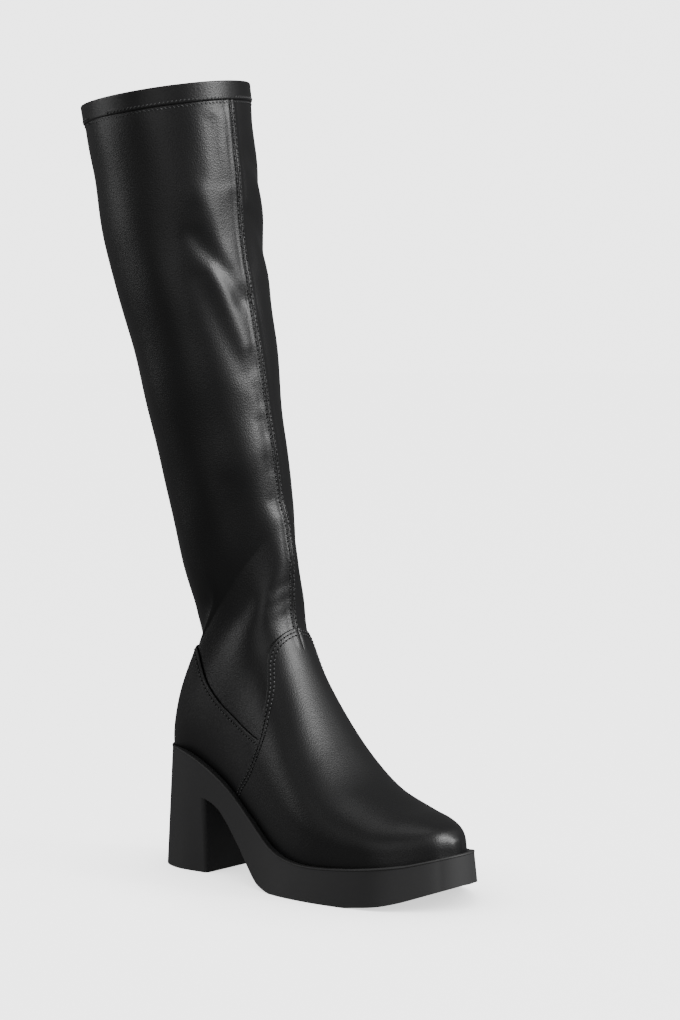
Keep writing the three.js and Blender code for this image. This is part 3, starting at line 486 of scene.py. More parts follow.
def trim_all(vertices, faces, values):
    """trim for several values, one after another, on quads and triangles."""
    for value in values:
        quads = np.array([face for face in faces if len(face) == 4], dtype=int).reshape(-1, 4)
        triples = np.array([face for face in faces if len(face) == 3], dtype=int).reshape(-1, 3)
        doubled = np.concatenate([triples, triples[:, 2:]], axis=1)
        vertices, kept = trim(vertices, np.concatenate([quads, doubled]), value)
        faces = []
        for face in kept:
            plain = list(dict.fromkeys(int(v) for v in face))
            if len(plain) >= 3:
                faces.append(tuple(plain))
    return compact(vertices, faces)


# Regions in the side view: negative inside

def along_of(vertices):
    return ORIGIN_ALONG - vertices[:, 1]


def region(outline):
    """A function of side-view points: the distance to the outline, negative inside it."""
    outline = np.asarray(outline, float)
    start = outline
    end = np.roll(outline, -1, axis=0)

    def value(points):
        best = np.full(len(points), np.inf)
        inside = np.zeros(len(points), bool)
        for p, q in zip(start, end):
            step = q - p
            size = max(float(step @ step), 1e-12)
            t = np.clip(((points - p) @ step) / size, 0, 1)
            best = np.minimum(best, np.linalg.norm(points - (p + t[:, None] * step), axis=1))
            straddles = (p[1] > points[:, 1]) != (q[1] > points[:, 1])
            if abs(step[1]) > 1e-12:
                cross = p[0] + (points[:, 1] - p[1]) / step[1] * step[0]
                inside ^= straddles & (points[:, 0] < cross)
        return np.where(inside, -best, best)

    return value


def side_view(vertices):
    return np.stack([along_of(vertices), vertices[:, 2]], axis=1)


def vamp_outline(table):
    edge = smooth_line(table, INSTEP_RISE, 6)
    ahead = SOLE_LENGTH + 40
    return [[ahead, -40], [ahead, edge[0][1]], *edge.tolist(), [edge[-1][0], -40]]


def counter_outline():
    edge = smooth_line(COUNTER_EDGE, INSTEP_RISE, 6)
    return [[edge[0][0], -40], *edge.tolist(), [edge[-1][0], -40]]


LATERAL_VAMP = region(vamp_outline(VAMP_EDGE_LATERAL))
MEDIAL_VAMP = region(vamp_outline(VAMP_EDGE_MEDIAL))
COUNTER = region(counter_outline())
ZIP_MIDDLE = smooth_line(ZIP_LINE, ZIP_TOP, 12)
ZIP_HIGH = HEEL_HEIGHT + ZIP_TOP
ZIP_FOOT = ZIP_LINE["along"][1] * SOLE_LENGTH


def zip_along(z):
    return np.interp(z, ZIP_MIDDLE[:, 1], ZIP_MIDDLE[:, 0])


def vamp_value(vertices):
    view = side_view(vertices)
    return np.where(vertices[:, 0] < 0, LATERAL_VAMP(view), MEDIAL_VAMP(view))


def counter_value(vertices):
    view = side_view(vertices)
    behind = along_of(vertices) - zip_along(vertices[:, 2])
    lateral = np.maximum(COUNTER(view), -LATERAL_VAMP(view) - 6)
    medial = np.maximum(COUNTER(view), behind)
    return np.where(vertices[:, 0] < 0, lateral, medial)


def ahead_of_zip(vertices):
    ahead = zip_along(vertices[:, 2]) - along_of(vertices)
    return np.where(vertices[:, 0] < 0, -50, ahead)


def slot_value(vertices, width=ZIP_SLOT_WIDTH, low=ZIP_CLEAR_OF_RIM, high=0.0):
    """Negative outside the zip's slot, positive in it."""
    along = along_of(vertices)
    side = np.abs(along - zip_along(vertices[:, 2])) - width / 2
    below = rim_height(along) + low - vertices[:, 2]
    above = vertices[:, 2] - (ZIP_HIGH + high)
    inside = np.maximum(np.maximum(side, below), above)
    return np.where(vertices[:, 0] < 5, -50, -inside)


def collar_plane():
    ring = form_point(np.full(4, COLLAR_U), np.arange(4) * np.pi / 2)
    across = ring[3] - ring[1]
    back = ring[2] - ring[0]
    up = np.cross(across, back)
    many = form_point(np.full(28, COLLAR_U), np.arange(28) * np.pi / 14)
    return many.mean(axis=0), up / np.linalg.norm(up)


COLLAR_MIDDLE, COLLAR_UP = collar_plane()


def over_collar(vertices, drop=0.0):
    return (vertices - COLLAR_MIDDLE) @ COLLAR_UP + drop


def under_seat(vertices):
    return seat_height(along_of(vertices)) - vertices[:, 2] - 2


# Meshes

def make_object(name, vertices, faces, material, smooth=True):
    mesh = bpy.data.meshes.new(name)
    mesh.from_pydata([tuple(v * MM) for v in np.asarray(vertices, float)], [], [list(f) for f in faces])
    mesh.validate()
    bm = bmesh.new()
    bm.from_mesh(mesh)
    bmesh.ops.remove_doubles(bm, verts=bm.verts, dist=0.01 * MM)
    bm.to_mesh(mesh)
    bm.free()
    if smooth:
        mesh.shade_smooth()
    obj = bpy.data.objects.new(name, mesh)
    bpy.context.scene.collection.objects.link(obj)
    if material is not None:
        mesh.materials.append(material)
    return obj


def face_out(obj):
    """Turns the faces of an open sheet away from the form's inside."""
    tree = bmesh.new()
    tree.from_mesh(obj.data)
    bmesh.ops.recalc_face_normals(tree, faces=tree.faces)
    tree.to_mesh(obj.data)
    tree.free()
    return obj


def apply_modifiers(obj):
    bpy.context.view_layer.update()
    depsgraph = bpy.context.evaluated_depsgraph_get()
    mesh = bpy.data.meshes.new_from_object(obj.evaluated_get(depsgraph))
    obj.modifiers.clear()
    old = obj.data
    obj.data = mesh
    bpy.data.meshes.remove(old)
    return obj


def joined(name, parts, material):
    """One object of several (vertices, faces) parts."""
    vertices = []
    faces = []
    base = 0
    for part_vertices, part_faces in parts:
        vertices.append(np.asarray(part_vertices, float))
        faces.extend([tuple(v + base for v in face) for face in part_faces])
        base += len(part_vertices)
    return make_object(name, np.concatenate(vertices), faces, material)


def tube(points, radius, sides=8, closed=False, normals=None):
    """A round tube along points, as (vertices, faces)."""
    points = np.asarray(points, float)
    count = len(points)
    if closed:
        tangent = np.roll(points, -1, axis=0) - np.roll(points, 1, axis=0)
    else:
        tangent = np.gradient(points, axis=0)
    tangent /= np.linalg.norm(tangent, axis=1, keepdims=True)
    if normals is None:
        normals = np.tile([0.0, 0.0, 1.0], (count, 1))
    normals = normals - (normals * tangent).sum(axis=1, keepdims=True) * tangent
    normals /= np.linalg.norm(normals, axis=1, keepdims=True)
    side = np.cross(tangent, normals)
    turn = np.arange(sides) * 2 * np.pi / sides
    offsets = (
        normals[:, None, :] * (np.cos(turn)[None, :, None] * radius)
        + side[:, None, :] * (np.sin(turn)[None, :, None] * radius)
    )
    vertices = (points[:, None, :] + offsets).reshape(-1, 3)
    faces = []
    last = count if closed else count - 1
    for i in range(last):
        low = i * sides
        high = ((i + 1) % count) * sides
        for j in range(sides):
            k = (j + 1) % sides
            faces.append((low + j, low + k, high + k, high + j))
    if not closed:
        faces.append(tuple(range(sides))[::-1])
        faces.append(tuple((count - 1) * sides + j for j in range(sides)))
    return vertices, faces


# The form in two grades, and places on its surface

leather_form = Form(LEATHER_CELL, folded=True)
lining_form = Form(LINING_CELL, folded=True)


def surface_tree(form):
    vertices, quads = form.sheet(0)
    return BVHTree.FromPolygons([tuple(v) for v in vertices], [tuple(q) for q in quads.tolist()])


SURFACE = surface_tree(leather_form)


def on_side(along, z, side, offset):
    """The place over the form's surface, and its normal, at a side-view point. side is 1 medial."""
    start = Vector((side * REACH, ORIGIN_ALONG - along, z))
    place, normal, _, _ = SURFACE.ray_cast(start, Vector((-side, 0, 0)))
    if place is None:
        return None
    if normal.x * side < 0:
        normal = -normal
    return np.array(place + normal * offset), np.array(normal)


def path_on_side(line, side, offset):
    """The stretch of a side-view line that lies on the form."""
    places = []
    normals = []
    for along, z in line:
        hit = on_side(along, z, side, offset)
        if hit is not None:
            places.append(hit[0])
            normals.append(hit[1])
    return np.array(places), np.array(normals)


def evenly(points, step):
    """The line's points one step apart."""
    lengths = lengths_of(points)
    count = max(2, int(round(lengths[-1] / step)) + 1)
    return at_lengths(np.linspace(0, lengths[-1], count), lengths, points)


def lie_on_surface(points, offset):
    """Moves points onto the leather, and gives the outward normals there."""
    places = []
    normals = []
    for point in points:
        place, normal, _, _ = SURFACE.find_nearest(Vector(point))
        outwards = Vector(point) - place
        if outwards.length > 0.2 and normal.dot(outwards) < 0:
            normal = -normal
        elif outwards.length <= 0.2 and normal.dot(place - Vector(middle_near(place))) < 0:
            normal = -normal
        places.append(place + normal * offset)
        normals.append(normal)
    return np.array(places), np.array(normals)


ROW_MIDDLES = leather_form.points.mean(axis=1)


def middle_near(place):
    return ROW_MIDDLES[np.argmin(np.linalg.norm(ROW_MIDDLES - np.array(place), axis=1))]


def softened(points, passes=3):
    points = points.copy()
    for _ in range(passes):
        points[1:-1] = (points[:-2] + 2 * points[1:-1] + points[2:]) / 4
    return points


def beside(points, shift, offset):
    """A line on the leather beside another one, shift away, lifted by offset."""
    points, normals = lie_on_surface(points, offset)
    tangent = np.gradient(points, axis=0)
    tangent /= np.maximum(np.linalg.norm(tangent, axis=1, keepdims=True), 1e-9)
    return lie_on_surface(points + np.cross(tangent, normals) * shift, offset)


# near-black tubes that paint the shade in the needle holes, gathered by stitch_row
HOLE_SHADES = []


def stitch_row(points, normals, length, gap, radius):
    """Stitches along a line: short tubes that dip into the leather at their ends, and between them near-black
    tubes that paint the shade inside the needle holes."""
    lengths = lengths_of(points)
    pitch = length + gap
    parts = []
    for k in range(int(lengths[-1] / pitch)):
        where = k * pitch + gap / 2 + np.linspace(0, 1, 5) * length
        centre = at_lengths(where, lengths, points)
        out = at_lengths(where, lengths, normals)
        arch = np.array(STITCH_ARCH) * radius
        parts.append(tube(centre + out * arch[:, None], radius, sides=6, normals=out))
        hole = centre[0] - (centre[1] - centre[0]) * gap / length * 2
        across = np.cross(out[0], centre[-1] - centre[0])
        across /= np.linalg.norm(across)
        line = hole + across * np.array([[-0.5], [-0.15], [0.15], [0.5]])
        # painted shade: a near-black tube lying in the leather where the needle hole's inside would be shaded
        HOLE_SHADES.append(tube(line - out[0] * 0.06, HOLE_RADIUS, sides=6, normals=np.tile(out[0], (4, 1))))
    return parts


def slanted_row(points, normals, down, pitch, width, height, radius):
    """Short slanted stitches across a line, as a cover stitch leaves them."""
    lengths = lengths_of(points)
    parts = []
    for k in range(int(lengths[-1] / pitch)):
        share = np.linspace(0, 1, 5)
        where = k * pitch + share * width
        centre = at_lengths(where, lengths, points)
        out = at_lengths(where, lengths, normals)
        arch = np.array(COVER_ARCH) * radius
        centre = centre + out * arch[:, None] + down * (share * height)[:, None]
        parts.append(tube(centre, radius, sides=6, normals=out))
    return parts


def boundary_paths(vertices, faces):
    """The open edges of a mesh, chained into lines."""
    edges = {}
    for face in faces:
        for a, b in zip(face, face[1:] + face[:1]):
            edges[(a, b)] = edges.get((a, b), 0) + 1
    following = {a: b for (a, b) in edges if (b, a) not in edges}
    loops = []
    while following:
        start = next(iter(following))
        chain = [start]
        while chain[-1] in following:
            chain.append(following.pop(chain[-1]))
        loops.append(vertices[chain])
    return [loop for loop in loops if len(loop) > 12]


def stretches(points, keep, least=12):
    """The runs of a line's points for which keep is true."""
    runs = []
    run = []
    for point, kept in zip(points, keep):
        if kept:
            run.append(point)
        elif run:
            runs.append(run)
            run = []
    if run:
        if runs and keep[0] and np.allclose(points[0], points[-1]):
            runs[0] = run[:-1] + runs[0]
        else:
            runs.append(run)
    return [evenly(softened(np.array(r)), 0.8) for r in runs if len(r) > least]


# Materials

def new_material(name, colour, roughness, metallic=0.0):
    material = bpy.data.materials.new(name)
    material.use_nodes = True
    shader = material.node_tree.nodes["Principled BSDF"]
    shader.inputs["Base Color"].default_value = (*colour, 1)
    shader.inputs["Roughness"].default_value = roughness
    shader.inputs["Metallic"].default_value = metallic
    return material, material.node_tree, shader


def node(tree, kind, **inputs):
    made = tree.nodes.new(kind)
    for key, value in inputs.items():
        made.inputs[key.replace("_", " ")].default_value = value
    return made


def object_place(tree):
    return tree.nodes.new("ShaderNodeTexCoord").outputs["Object"]


def add_bump(tree, shader, layers):
    """Chains bump nodes. Each layer is (height socket, strength, distance in metres)."""
    previous = None
    for height, strength, distance in layers:
        bump = tree.nodes.new("ShaderNodeBump")
        bump.inputs["Strength"].default_value = strength
        bump.inputs["Distance"].default_value = distance
        tree.links.new(height, bump.inputs["Height"])
        if previous is not None:
            tree.links.new(previous, bump.inputs["Normal"])
        previous = bump.outputs["Normal"]
    tree.links.new(previous, shader.inputs["Normal"])


def noise(tree, scale, detail=2.0, roughness=0.5):
    made = node(tree, "ShaderNodeTexNoise", Scale=scale, Detail=detail, Roughness=roughness)
    tree.links.new(object_place(tree), made.inputs["Vector"])
    return made.outputs["Fac"]


def to_range(tree, socket, low, high):
    made = tree.nodes.new("ShaderNodeMapRange")
    made.inputs["To Min"].default_value = low
    made.inputs["To Max"].default_value = high
    tree.links.new(socket, made.inputs["Value"])
    return made.outputs["Result"]


def leather_material(name, colour, smoothest, roughest, grain):
    material, tree, shader = new_material(name, colour, 0.4)
    shader.inputs["Specular IOR Level"].default_value = 0.5
    patches = noise(tree, 26, 3)
    tree.links.new(to_range(tree, patches, smoothest, roughest), shader.inputs["Roughness"])
    pebble = node(tree, "ShaderNodeTexVoronoi", Scale=1100.0)
    tree.links.new(object_place(tree), pebble.inputs["Vector"])
    fine = noise(tree, 2600, 2)
    soft = noise(tree, 38, 2)
    add_bump(tree, shader, [
        (soft, 0.12, 0.0012),
        (pebble.outputs["Distance"], grain, 0.0002),
        (fine, grain * 0.6, 0.0001),
    ])
    return material


def rubber_material():
    material, tree, shader = new_material("sole_rubber", (0.034, 0.034, 0.0345), 0.62)
    patches = noise(tree, 34, 3)
    tree.links.new(to_range(tree, patches, 0.52, 0.68), shader.inputs["Roughness"])
    add_bump(tree, shader, [(noise(tree, 1400, 3, 0.6), 0.25, 0.00015)])
    return material


def tread_material():
    """Rubber with fine moulded ribs across the foot."""
    material, tree, shader = new_material("tread_rubber", (0.018, 0.018, 0.0185), 0.7)
    ribs = node(tree, "ShaderNodeTexWave", Scale=62.0, Distortion=0.0)
    ribs.bands_direction = "Y"
    ribs.wave_profile = "TRI"
    tree.links.new(object_place(tree), ribs.inputs["Vector"])
    worn = noise(tree, 60, 3)
    tree.links.new(to_range(tree, worn, 0.55, 0.8), shader.inputs["Roughness"])
    add_bump(tree, shader, [(ribs.outputs["Fac"], 0.8, 0.0008), (noise(tree, 1400, 3, 0.6), 0.3, 0.00015)])
    return material


def cloth_material(name, colour, thread, roughness=0.9):
    """A plain weave with threads of the given spacing in metres."""
    material, tree, shader = new_material(name, colour, roughness)
    heights = []
    for axis in ("X", "Z"):
        wave = node(tree, "ShaderNodeTexWave", Scale=0.31 / thread, Distortion=0.4, Detail=1.0)
        wave.bands_direction = axis
        tree.links.new(object_place(tree), wave.inputs["Vector"])
        heights.append(wave.outputs["Fac"])
    weave = tree.nodes.new("ShaderNodeMath")
    weave.operation = "MAXIMUM"
    tree.links.new(heights[0], weave.inputs[0])
    tree.links.new(heights[1], weave.inputs[1])
    add_bump(tree, shader, [(weave.outputs[0], 0.5, 0.0002), (noise(tree, 900, 2), 0.3, 0.0002)])
    return material


def thread_material():
    material, tree, shader = new_material("thread", (0.07, 0.07, 0.072), 0.42)
    twist = node(tree, "ShaderNodeTexWave", Scale=700.0, Distortion=1.0)
    tree.links.new(object_place(tree), twist.inputs["Vector"])
    add_bump(tree, shader, [(twist.outputs["Fac"], 0.4, 0.0001)])
    return material


def metal_material(name, colour, roughness, metallic=1.0):
    material, tree, shader = new_material(name, colour, roughness, metallic)
    worn = noise(tree, 420, 3)
    tree.links.new(to_range(tree, worn, roughness - 0.08, roughness + 0.12), shader.inputs["Roughness"])
    add_bump(tree, shader, [(noise(tree, 900, 2), 0.12, 0.0001)])
    return material


LEATHER = leather_material("shaft_leather", (0.0045, 0.0045, 0.0048), 0.38, 0.46, 0.4)
VAMP_LEATHER = leather_material("vamp_leather", (0.005, 0.005, 0.0053), 0.4, 0.5, 0.35)
LINING = cloth_material("lining_cloth", (0.012, 0.012, 0.013), 0.0009)
TAPE = cloth_material("tape_cloth", (0.01, 0.01, 0.01), 0.0007, 0.85)
RUBBER = rubber_material()
TREAD = tread_material()
# near-black cloth that paints the shade inside the needle holes
HOLE_SHADE = cloth_material("needle_hole_shade", (0.001, 0.001, 0.001), 0.0003, 1.0)
THREAD = thread_material()
SOCK = cloth_material("insole_cloth", (0.014, 0.014, 0.014), 0.0006)
COIL = metal_material("coil_nylon", (0.03, 0.03, 0.032), 0.35, 0.0)
SLIDER_METAL = metal_material("slider_metal", (0.06, 0.06, 0.062), 0.32)
PULL_METAL = metal_material("pull_metal", (0.2, 0.2, 0.205), 0.36)


def ride(obj, slot, *replaced, body="boot"):
    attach(obj, body)
    if replaced:
        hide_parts(*replaced)
    return obj


# Upper

def make_shaft():
    """The leather of foot and leg, cut off under the hem and open at the zip."""
    sheet = leather_form.sheet(0)
    faces = [tuple(q) for q in sheet[1].tolist()]
    values = [lambda v: over_collar(v, HEM_HEIGHT - 1), under_seat, slot_value]
    return trim_all(sheet[0], faces, values)


def make_hem():
    """The folded band at the collar, rolled over its top edge."""
    depths = np.linspace(0, HEM_HEIGHT, 9)
    rings = [collar_ring(HEM_HEIGHT - 0.6, -0.3)]
    rings.append(collar_ring(HEM_HEIGHT, HEM_STEP * 0.4))
    rings.append(collar_ring(HEM_HEIGHT - 0.5, HEM_STEP))
    rings.extend(collar_ring(d, HEM_STEP) for d in depths[::-1][1:-1])
    wall = UPPER_WALL + HEM_STEP
    middle = HEM_STEP - wall / 2
    for angle in np.linspace(0, np.pi, 9):
        lift = math.sin(angle) * wall / 2
        rings.append(collar_ring(wall / 2 - lift, middle + math.cos(angle) * wall / 2))
    rings.extend(collar_ring(d, -UPPER_WALL) for d in np.linspace(3, HEM_HEIGHT + 4, 5))
    count = len(rings[0])
    faces = []
    for i in range(len(rings) - 1):
        for j in range(count):
            k = (j + 1) % count
            faces.append((i * count + j, i * count + k, (i + 1) * count + k, (i + 1) * count + j))
    return face_out(make_object("collar_hem", np.concatenate(rings), faces, LEATHER))


def collar_ring(drop, offset, count=240):
    """A ring round the shaft, in the plane that lies drop below the collar."""
    steps = np.linspace(COLLAR_U - 2, ROW_COUNT - 1, 60)
    angles = even_angles(COLLAR_U, count // 4)
    points = form_point(steps[:, None], angles[None, :])
    heights = (points - COLLAR_MIDDLE) @ COLLAR_UP
    places = np.array([
        [np.interp(-drop, heights[:, j], points[:, j, c]) for c in range(3)] for j in range(len(angles))
    ])
    tangent = np.roll(places, -1, axis=0) - np.roll(places, 1, axis=0)
    normals = np.cross(tangent, COLLAR_UP)
    normals /= np.linalg.norm(normals, axis=1, keepdims=True)
    if ((places - places.mean(axis=0)) * normals).sum() < 0:
        normals = -normals
    return places + normals * offset


def make_lining():
    sheet = lining_form.sheet(-UPPER_WALL)
    faces = [tuple(q) for q in sheet[1].tolist()]
    vertices, faces = trim_all(sheet[0], faces, [lambda v: over_collar(v, HEM_HEIGHT), under_seat])
    return face_out(make_object("lining", vertices, faces, LINING))


def make_overlay(value, extra, outer):
    sheet = leather_form.sheet(outer)
    faces = [tuple(q) for q in sheet[1].tolist()]
    centres = sheet[0][sheet[1]].mean(axis=1)
    near = np.concatenate([value(centres[k:k + 20000]) for k in range(0, len(centres), 20000)]) < 8
    faces = [face for face, keep in zip(faces, near) if keep]
    vertices, faces = compact(sheet[0], faces)
    return trim_all(vertices, faces, [value, *extra])


def over_rim(points, clear=0.0):
    return points[:, 2] > rim_height(along_of(points)) + clear


def edge_beads(vertices, faces, offset, radius):
    """A rounded edge along the open edges of a sheet that lies offset over the leather."""
    parts = []
    for loop in boundary_paths(vertices, faces):
        for path in stretches(loop, over_rim(loop, -3)):
            places, normals = lie_on_surface(path, offset - radius)
            parts.append(tube(softened(places), radius, sides=10, normals=normals))
    return parts


def edge_lines(vertices, faces, value, offset, shifts, clear=1.0):
    """Lines inside a sheet, beside its edge where value is 0, as (points, normals)."""
    lines = []
    for loop in boundary_paths(vertices, faces):
        keep = (np.abs(value(loop)) < 0.4) & over_rim(loop, clear)
        for path in stretches(loop, keep):
            for shift in shifts:
                tries = [beside(path, way * shift, offset) for way in (1, -1)]
                inside = [value(points).mean() for points, _ in tries]
                lines.append(tries[int(np.argmin(inside))])
    return lines


def stitched(name, lines, slot="upper", node="upper", length=2.0, gap=0.9, radius=0.36):
    parts = []
    for points, normals in lines:
        parts.extend(stitch_row(points, normals, length, gap, radius))
    return ride(joined(name, parts, THREAD), slot, node)


def front_line():
    """The front seam's line from the vamp's top to the hem."""
    column = leather_form.points[:, 0]
    keep = (column[:, 2] > 150) & (along_of(column) < 108) & (over_collar(column) < -HEM_HEIGHT)
    keep &= vamp_value(column + np.array([[-0.01, 0, 0]])) > 0.5
    return evenly(column[keep], 0.8)


def seam_rows():
    middle = front_line()
    return [beside(middle, shift, 0.1) for shift in (-SEAM_ROW_SHIFT, SEAM_ROW_SHIFT)]


def hem_rows():
    parts = []
    for drop, lift, lean in ((HEM_HEIGHT - 2.6, HEM_STEP, 1.3), (HEM_HEIGHT + 2.0, 0.1, -1.3)):
        ring = collar_ring(drop, 0)
        places, normals = lie_on_surface(evenly(np.concatenate([ring, ring[:1]]), 0.8), lift)
        parts.extend(slanted_row(places, normals, -COLLAR_UP * lean, 2.7, 1.5, 1.0, 0.3))
    return parts


def make_upper():
    shaft = make_shaft()
    ride(face_out(make_object("shaft", *shaft, LEATHER)), "upper", "upper")
    ride(make_hem(), "upper", "upper")
    ride(make_lining(), "lining", "upper")

    vamp = make_overlay(vamp_value, [ahead_of_zip, slot_value, under_seat], OVERLAY_OUTER)
    ride(face_out(make_object("vamp_sheet", *vamp, VAMP_LEATHER)), "upper", "vamp")
    ride(joined("vamp_edge", edge_beads(*vamp, OVERLAY_OUTER, 0.75), VAMP_LEATHER), "upper", "vamp")

    height = OVERLAY_OUTER - 0.25
    counter = make_overlay(counter_value, [slot_value, under_seat], height)
    ride(face_out(make_object("counter_sheet", *counter, VAMP_LEATHER)), "upper", "counter")
    ride(joined("counter_edge", edge_beads(*counter, height, 0.65), VAMP_LEATHER), "upper", "counter")

    stitched("vamp_stitches", edge_lines(*vamp, vamp_value, OVERLAY_OUTER, (1.7, 4.1)), node="vamp")
    stitched("counter_stitches", edge_lines(*counter, counter_top, height, (2.3,)), node="counter")
    stitched("front_seam_stitches", seam_rows())
    ride(joined("hem_stitches", hem_rows(), THREAD), "upper", "upper")


def counter_top(points):
    return COUNTER(side_view(points))


# Zip

def zip_path(low, high, step, offset):
    heights = np.arange(low, high, step)
    places, normals = path_on_side([(float(zip_along(z)), z) for z in heights], 1, offset)
    return places, normals


def make_tape():
    sheet = leather_form.sheet(-UPPER_WALL - CLEARANCE)
    faces = [tuple(q) for q in sheet[1].tolist()]
    centres = sheet[0][sheet[1]].mean(axis=1)
    near = (centres[:, 0] > 0) & (np.abs(along_of(centres) - zip_along(centres[:, 2])) < ZIP_TAPE_WIDTH / 2 + 3)
    faces = [face for face, keep in zip(faces, near) if keep]
    vertices, faces = compact(sheet[0], faces)

    def beyond_tape(points):
        return -slot_value(points, ZIP_TAPE_WIDTH, ZIP_CLEAR_OF_RIM, ZIP_TAPE_RUNOUT)

    vertices, faces = trim_all(vertices, faces, [beyond_tape])
    return ride(face_out(make_object("tape", vertices, faces, TAPE)), "zip_cloth", "zip_tape")


def make_coil():
    """Two rows of nylon teeth that mesh in the middle, each a short bowed loop."""
    foot = float(rim_height(ZIP_FOOT)) + ZIP_CLEAR_OF_RIM + 1
    parts = []
    pitch = 1.3
    for side in (-1, 1):
        start = foot + (pitch / 2 if side > 0 else 0)
        places, normals = zip_path(start, ZIP_HIGH - SLIDER_LENGTH - 0.4, pitch, -0.25)
        rising = np.gradient(places, axis=0)
        rising /= np.linalg.norm(rising, axis=1, keepdims=True)
        across = np.cross(normals, rising)
        for place, out, way in zip(places, normals, across):
            reach = np.array([-0.45, 0.3, 1.2, 2.0, 2.3]) * side
            lift = np.array([-0.35, 0.42, 0.45, 0.2, -0.5])
            line = place + reach[:, None] * way + lift[:, None] * out
            parts.append(tube(line, 0.42, sides=6, normals=np.tile(out, (5, 1))))
    for side in (-1, 1):
        places, normals = zip_path(foot - 1, ZIP_HIGH - 1, 1.0, -0.75)
        rising = np.gradient(places, axis=0)
        across = np.cross(normals, rising / np.linalg.norm(rising, axis=1, keepdims=True))
        parts.append(tube(places + across * side * 2.5, 0.5, sides=6, normals=normals))
    return ride(joined("coil", parts, COIL), "zip_cloth", "zip_tape")


def slot_lines(shift, offset):
    """Lines beside both long edges of the zip's slot."""
    lines = []
    foot = float(rim_height(ZIP_FOOT)) + ZIP_CLEAR_OF_RIM
    for side in (-1, 1):
        reach = side * (ZIP_SLOT_WIDTH / 2 + shift)
        heights = np.arange(foot + 2, ZIP_HIGH + shift * 0.6, 1.0)
        places, _ = path_on_side([(float(zip_along(z)) + reach, z) for z in heights], 1, 0)
        lines.append(lie_on_surface(evenly(places, 0.8), offset))
    return lines


def covered_height(points):
    """How high the leather stands over the form on the medial side: an overlay or none."""
    under = (vamp_value(points) < 0) | (COUNTER(side_view(points)) < 0)
    return np.where(under, OVERLAY_OUTER - 0.1, 0.1)


def make_zip():
    make_tape()
    make_coil()
    shaft_edges = []
    for points, _ in slot_lines(0.1, 0):
        places, normals = lie_on_surface(points, 0)
        places = places + normals * (covered_height(points) - 0.7)[:, None]
        shaft_edges.append(tube(softened(places, 6), 0.8, sides=10, normals=normals))
    ride(joined("slot_edges", shaft_edges, LEATHER), "upper", "upper")
    rows = []
    for points, _ in slot_lines(2.6, 0):
        places, normals = lie_on_surface(points, 0)
        rows.append((softened(places + normals * covered_height(points)[:, None], 4), normals))
    stitched("slot_stitches", rows)
    for node_name, slot, body, material in (
        ("zip_slider", "slider_metal", "boot", SLIDER_METAL),
        ("zip_pull", "pull_metal", "zip_pull", PULL_METAL),
    ):
        obj = bpy.data.objects.new(node_name + "_cast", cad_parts[node_name].data.copy())
        bpy.context.scene.collection.objects.link(obj)
        tree = bmesh.new()
        tree.from_mesh(obj.data)
        bmesh.ops.remove_doubles(tree, verts=tree.verts, dist=0.01 * MM)
        bmesh.ops.dissolve_limit(tree, angle_limit=0.02, verts=tree.verts, edges=tree.edges)
        tree.to_mesh(obj.data)
        tree.free()
        bevel = obj.modifiers.new("edges", "BEVEL")
        bevel.width = 0.22 * MM
        bevel.segments = 3
        bevel.limit_method = "ANGLE"
        bevel.angle_limit = math.radians(40)
        apply_modifiers(obj)
        obj.data.shade_smooth()
        obj.data.set_sharp_from_angle(angle=math.radians(50))
        obj.data.materials.clear()
        obj.data.materials.append(material)
        ride(obj, slot, node_name, body=body)


# Sole

def outline_point(turn):
    share = (1 - np.cos(turn)) / 2
    keys = np.arccos(1 - 2 * np.array(OUTLINE["along"]))
    return {
        "along": share * SOLE_LENGTH,
        "lateral": -np.maximum(0, look_up(keys, turn, OUTLINE["lateral"])) * BALL_WIDTH,
        "medial": np.maximum(0, look_up(keys, turn, OUTLINE["medial"])) * BALL_WIDTH,
        "splay": look_up(keys, turn, OUTLINE["splay"]) * WALL_FLARE,
    }


def outline_loops(stations):
    """The rim's and the floor edge's outline, as [along, x] loops over the medial side first."""
    at = outline_point(np.linspace(0, np.pi, stations + 1))
    along = np.concatenate([at["along"], at["along"][-2:0:-1]])
    x = np.concatenate([at["medial"], at["lateral"][-2:0:-1]])
    splay = np.concatenate([at["splay"], at["splay"][-2:0:-1]])
    rim = np.stack([along, x], axis=1)
    tangent = np.roll(rim, -1, axis=0) - np.roll(rim, 1, axis=0)
    tangent /= np.linalg.norm(tangent, axis=1, keepdims=True)
    floor = rim + np.stack([-tangent[:, 1], tangent[:, 0]], axis=1) * splay[:, None]
    return rim, floor


def lofted(rings, caps=True):
    """Closed rings of one size joined into a surface, as (vertices, faces)."""
    count = len(rings[0])
    faces = []
    for i in range(len(rings) - 1):
        for j in range(count):
            k = (j + 1) % count
            faces.append((i * count + j, i * count + k, (i + 1) * count + k, (i + 1) * count + j))
    if caps:
        faces.append(tuple(range(count))[::-1])
        faces.append(tuple((len(rings) - 1) * count + j for j in range(count)))
    return np.concatenate(rings), faces


def sole_block():
    rim, floor = outline_loops(150)
    top = rim_height(rim[:, 0])
    rings = []
    for share in np.linspace(0, 1, 13):
        plan = floor + (rim - floor) * share
        rings.append(np.stack([plan[:, 1], ORIGIN_ALONG - plan[:, 0], top * share], axis=1))
    vertices, faces = lofted(rings, caps=False)
    count = len(rim)
    half = count // 2
    base = len(rings) * count - count
    for i in range(half):
        medial = (i, i + 1)
        lateral = ((count - i) % count, count - i - 1)
        low = [medial[0], medial[1], lateral[1], lateral[0]]
        high = [base + v for v in low]
        faces.append(tuple(dict.fromkeys(low)))
        faces.append(tuple(dict.fromkeys(high[::-1])))
    return vertices, faces


def side_prism(outline, from_x, to_x):
    outline = np.asarray(outline, float)
    rings = [
        np.stack([np.full(len(outline), x), ORIGIN_ALONG - outline[:, 0], outline[:, 1]], axis=1)
        for x in (from_x, to_x)
    ]
    return lofted(rings)


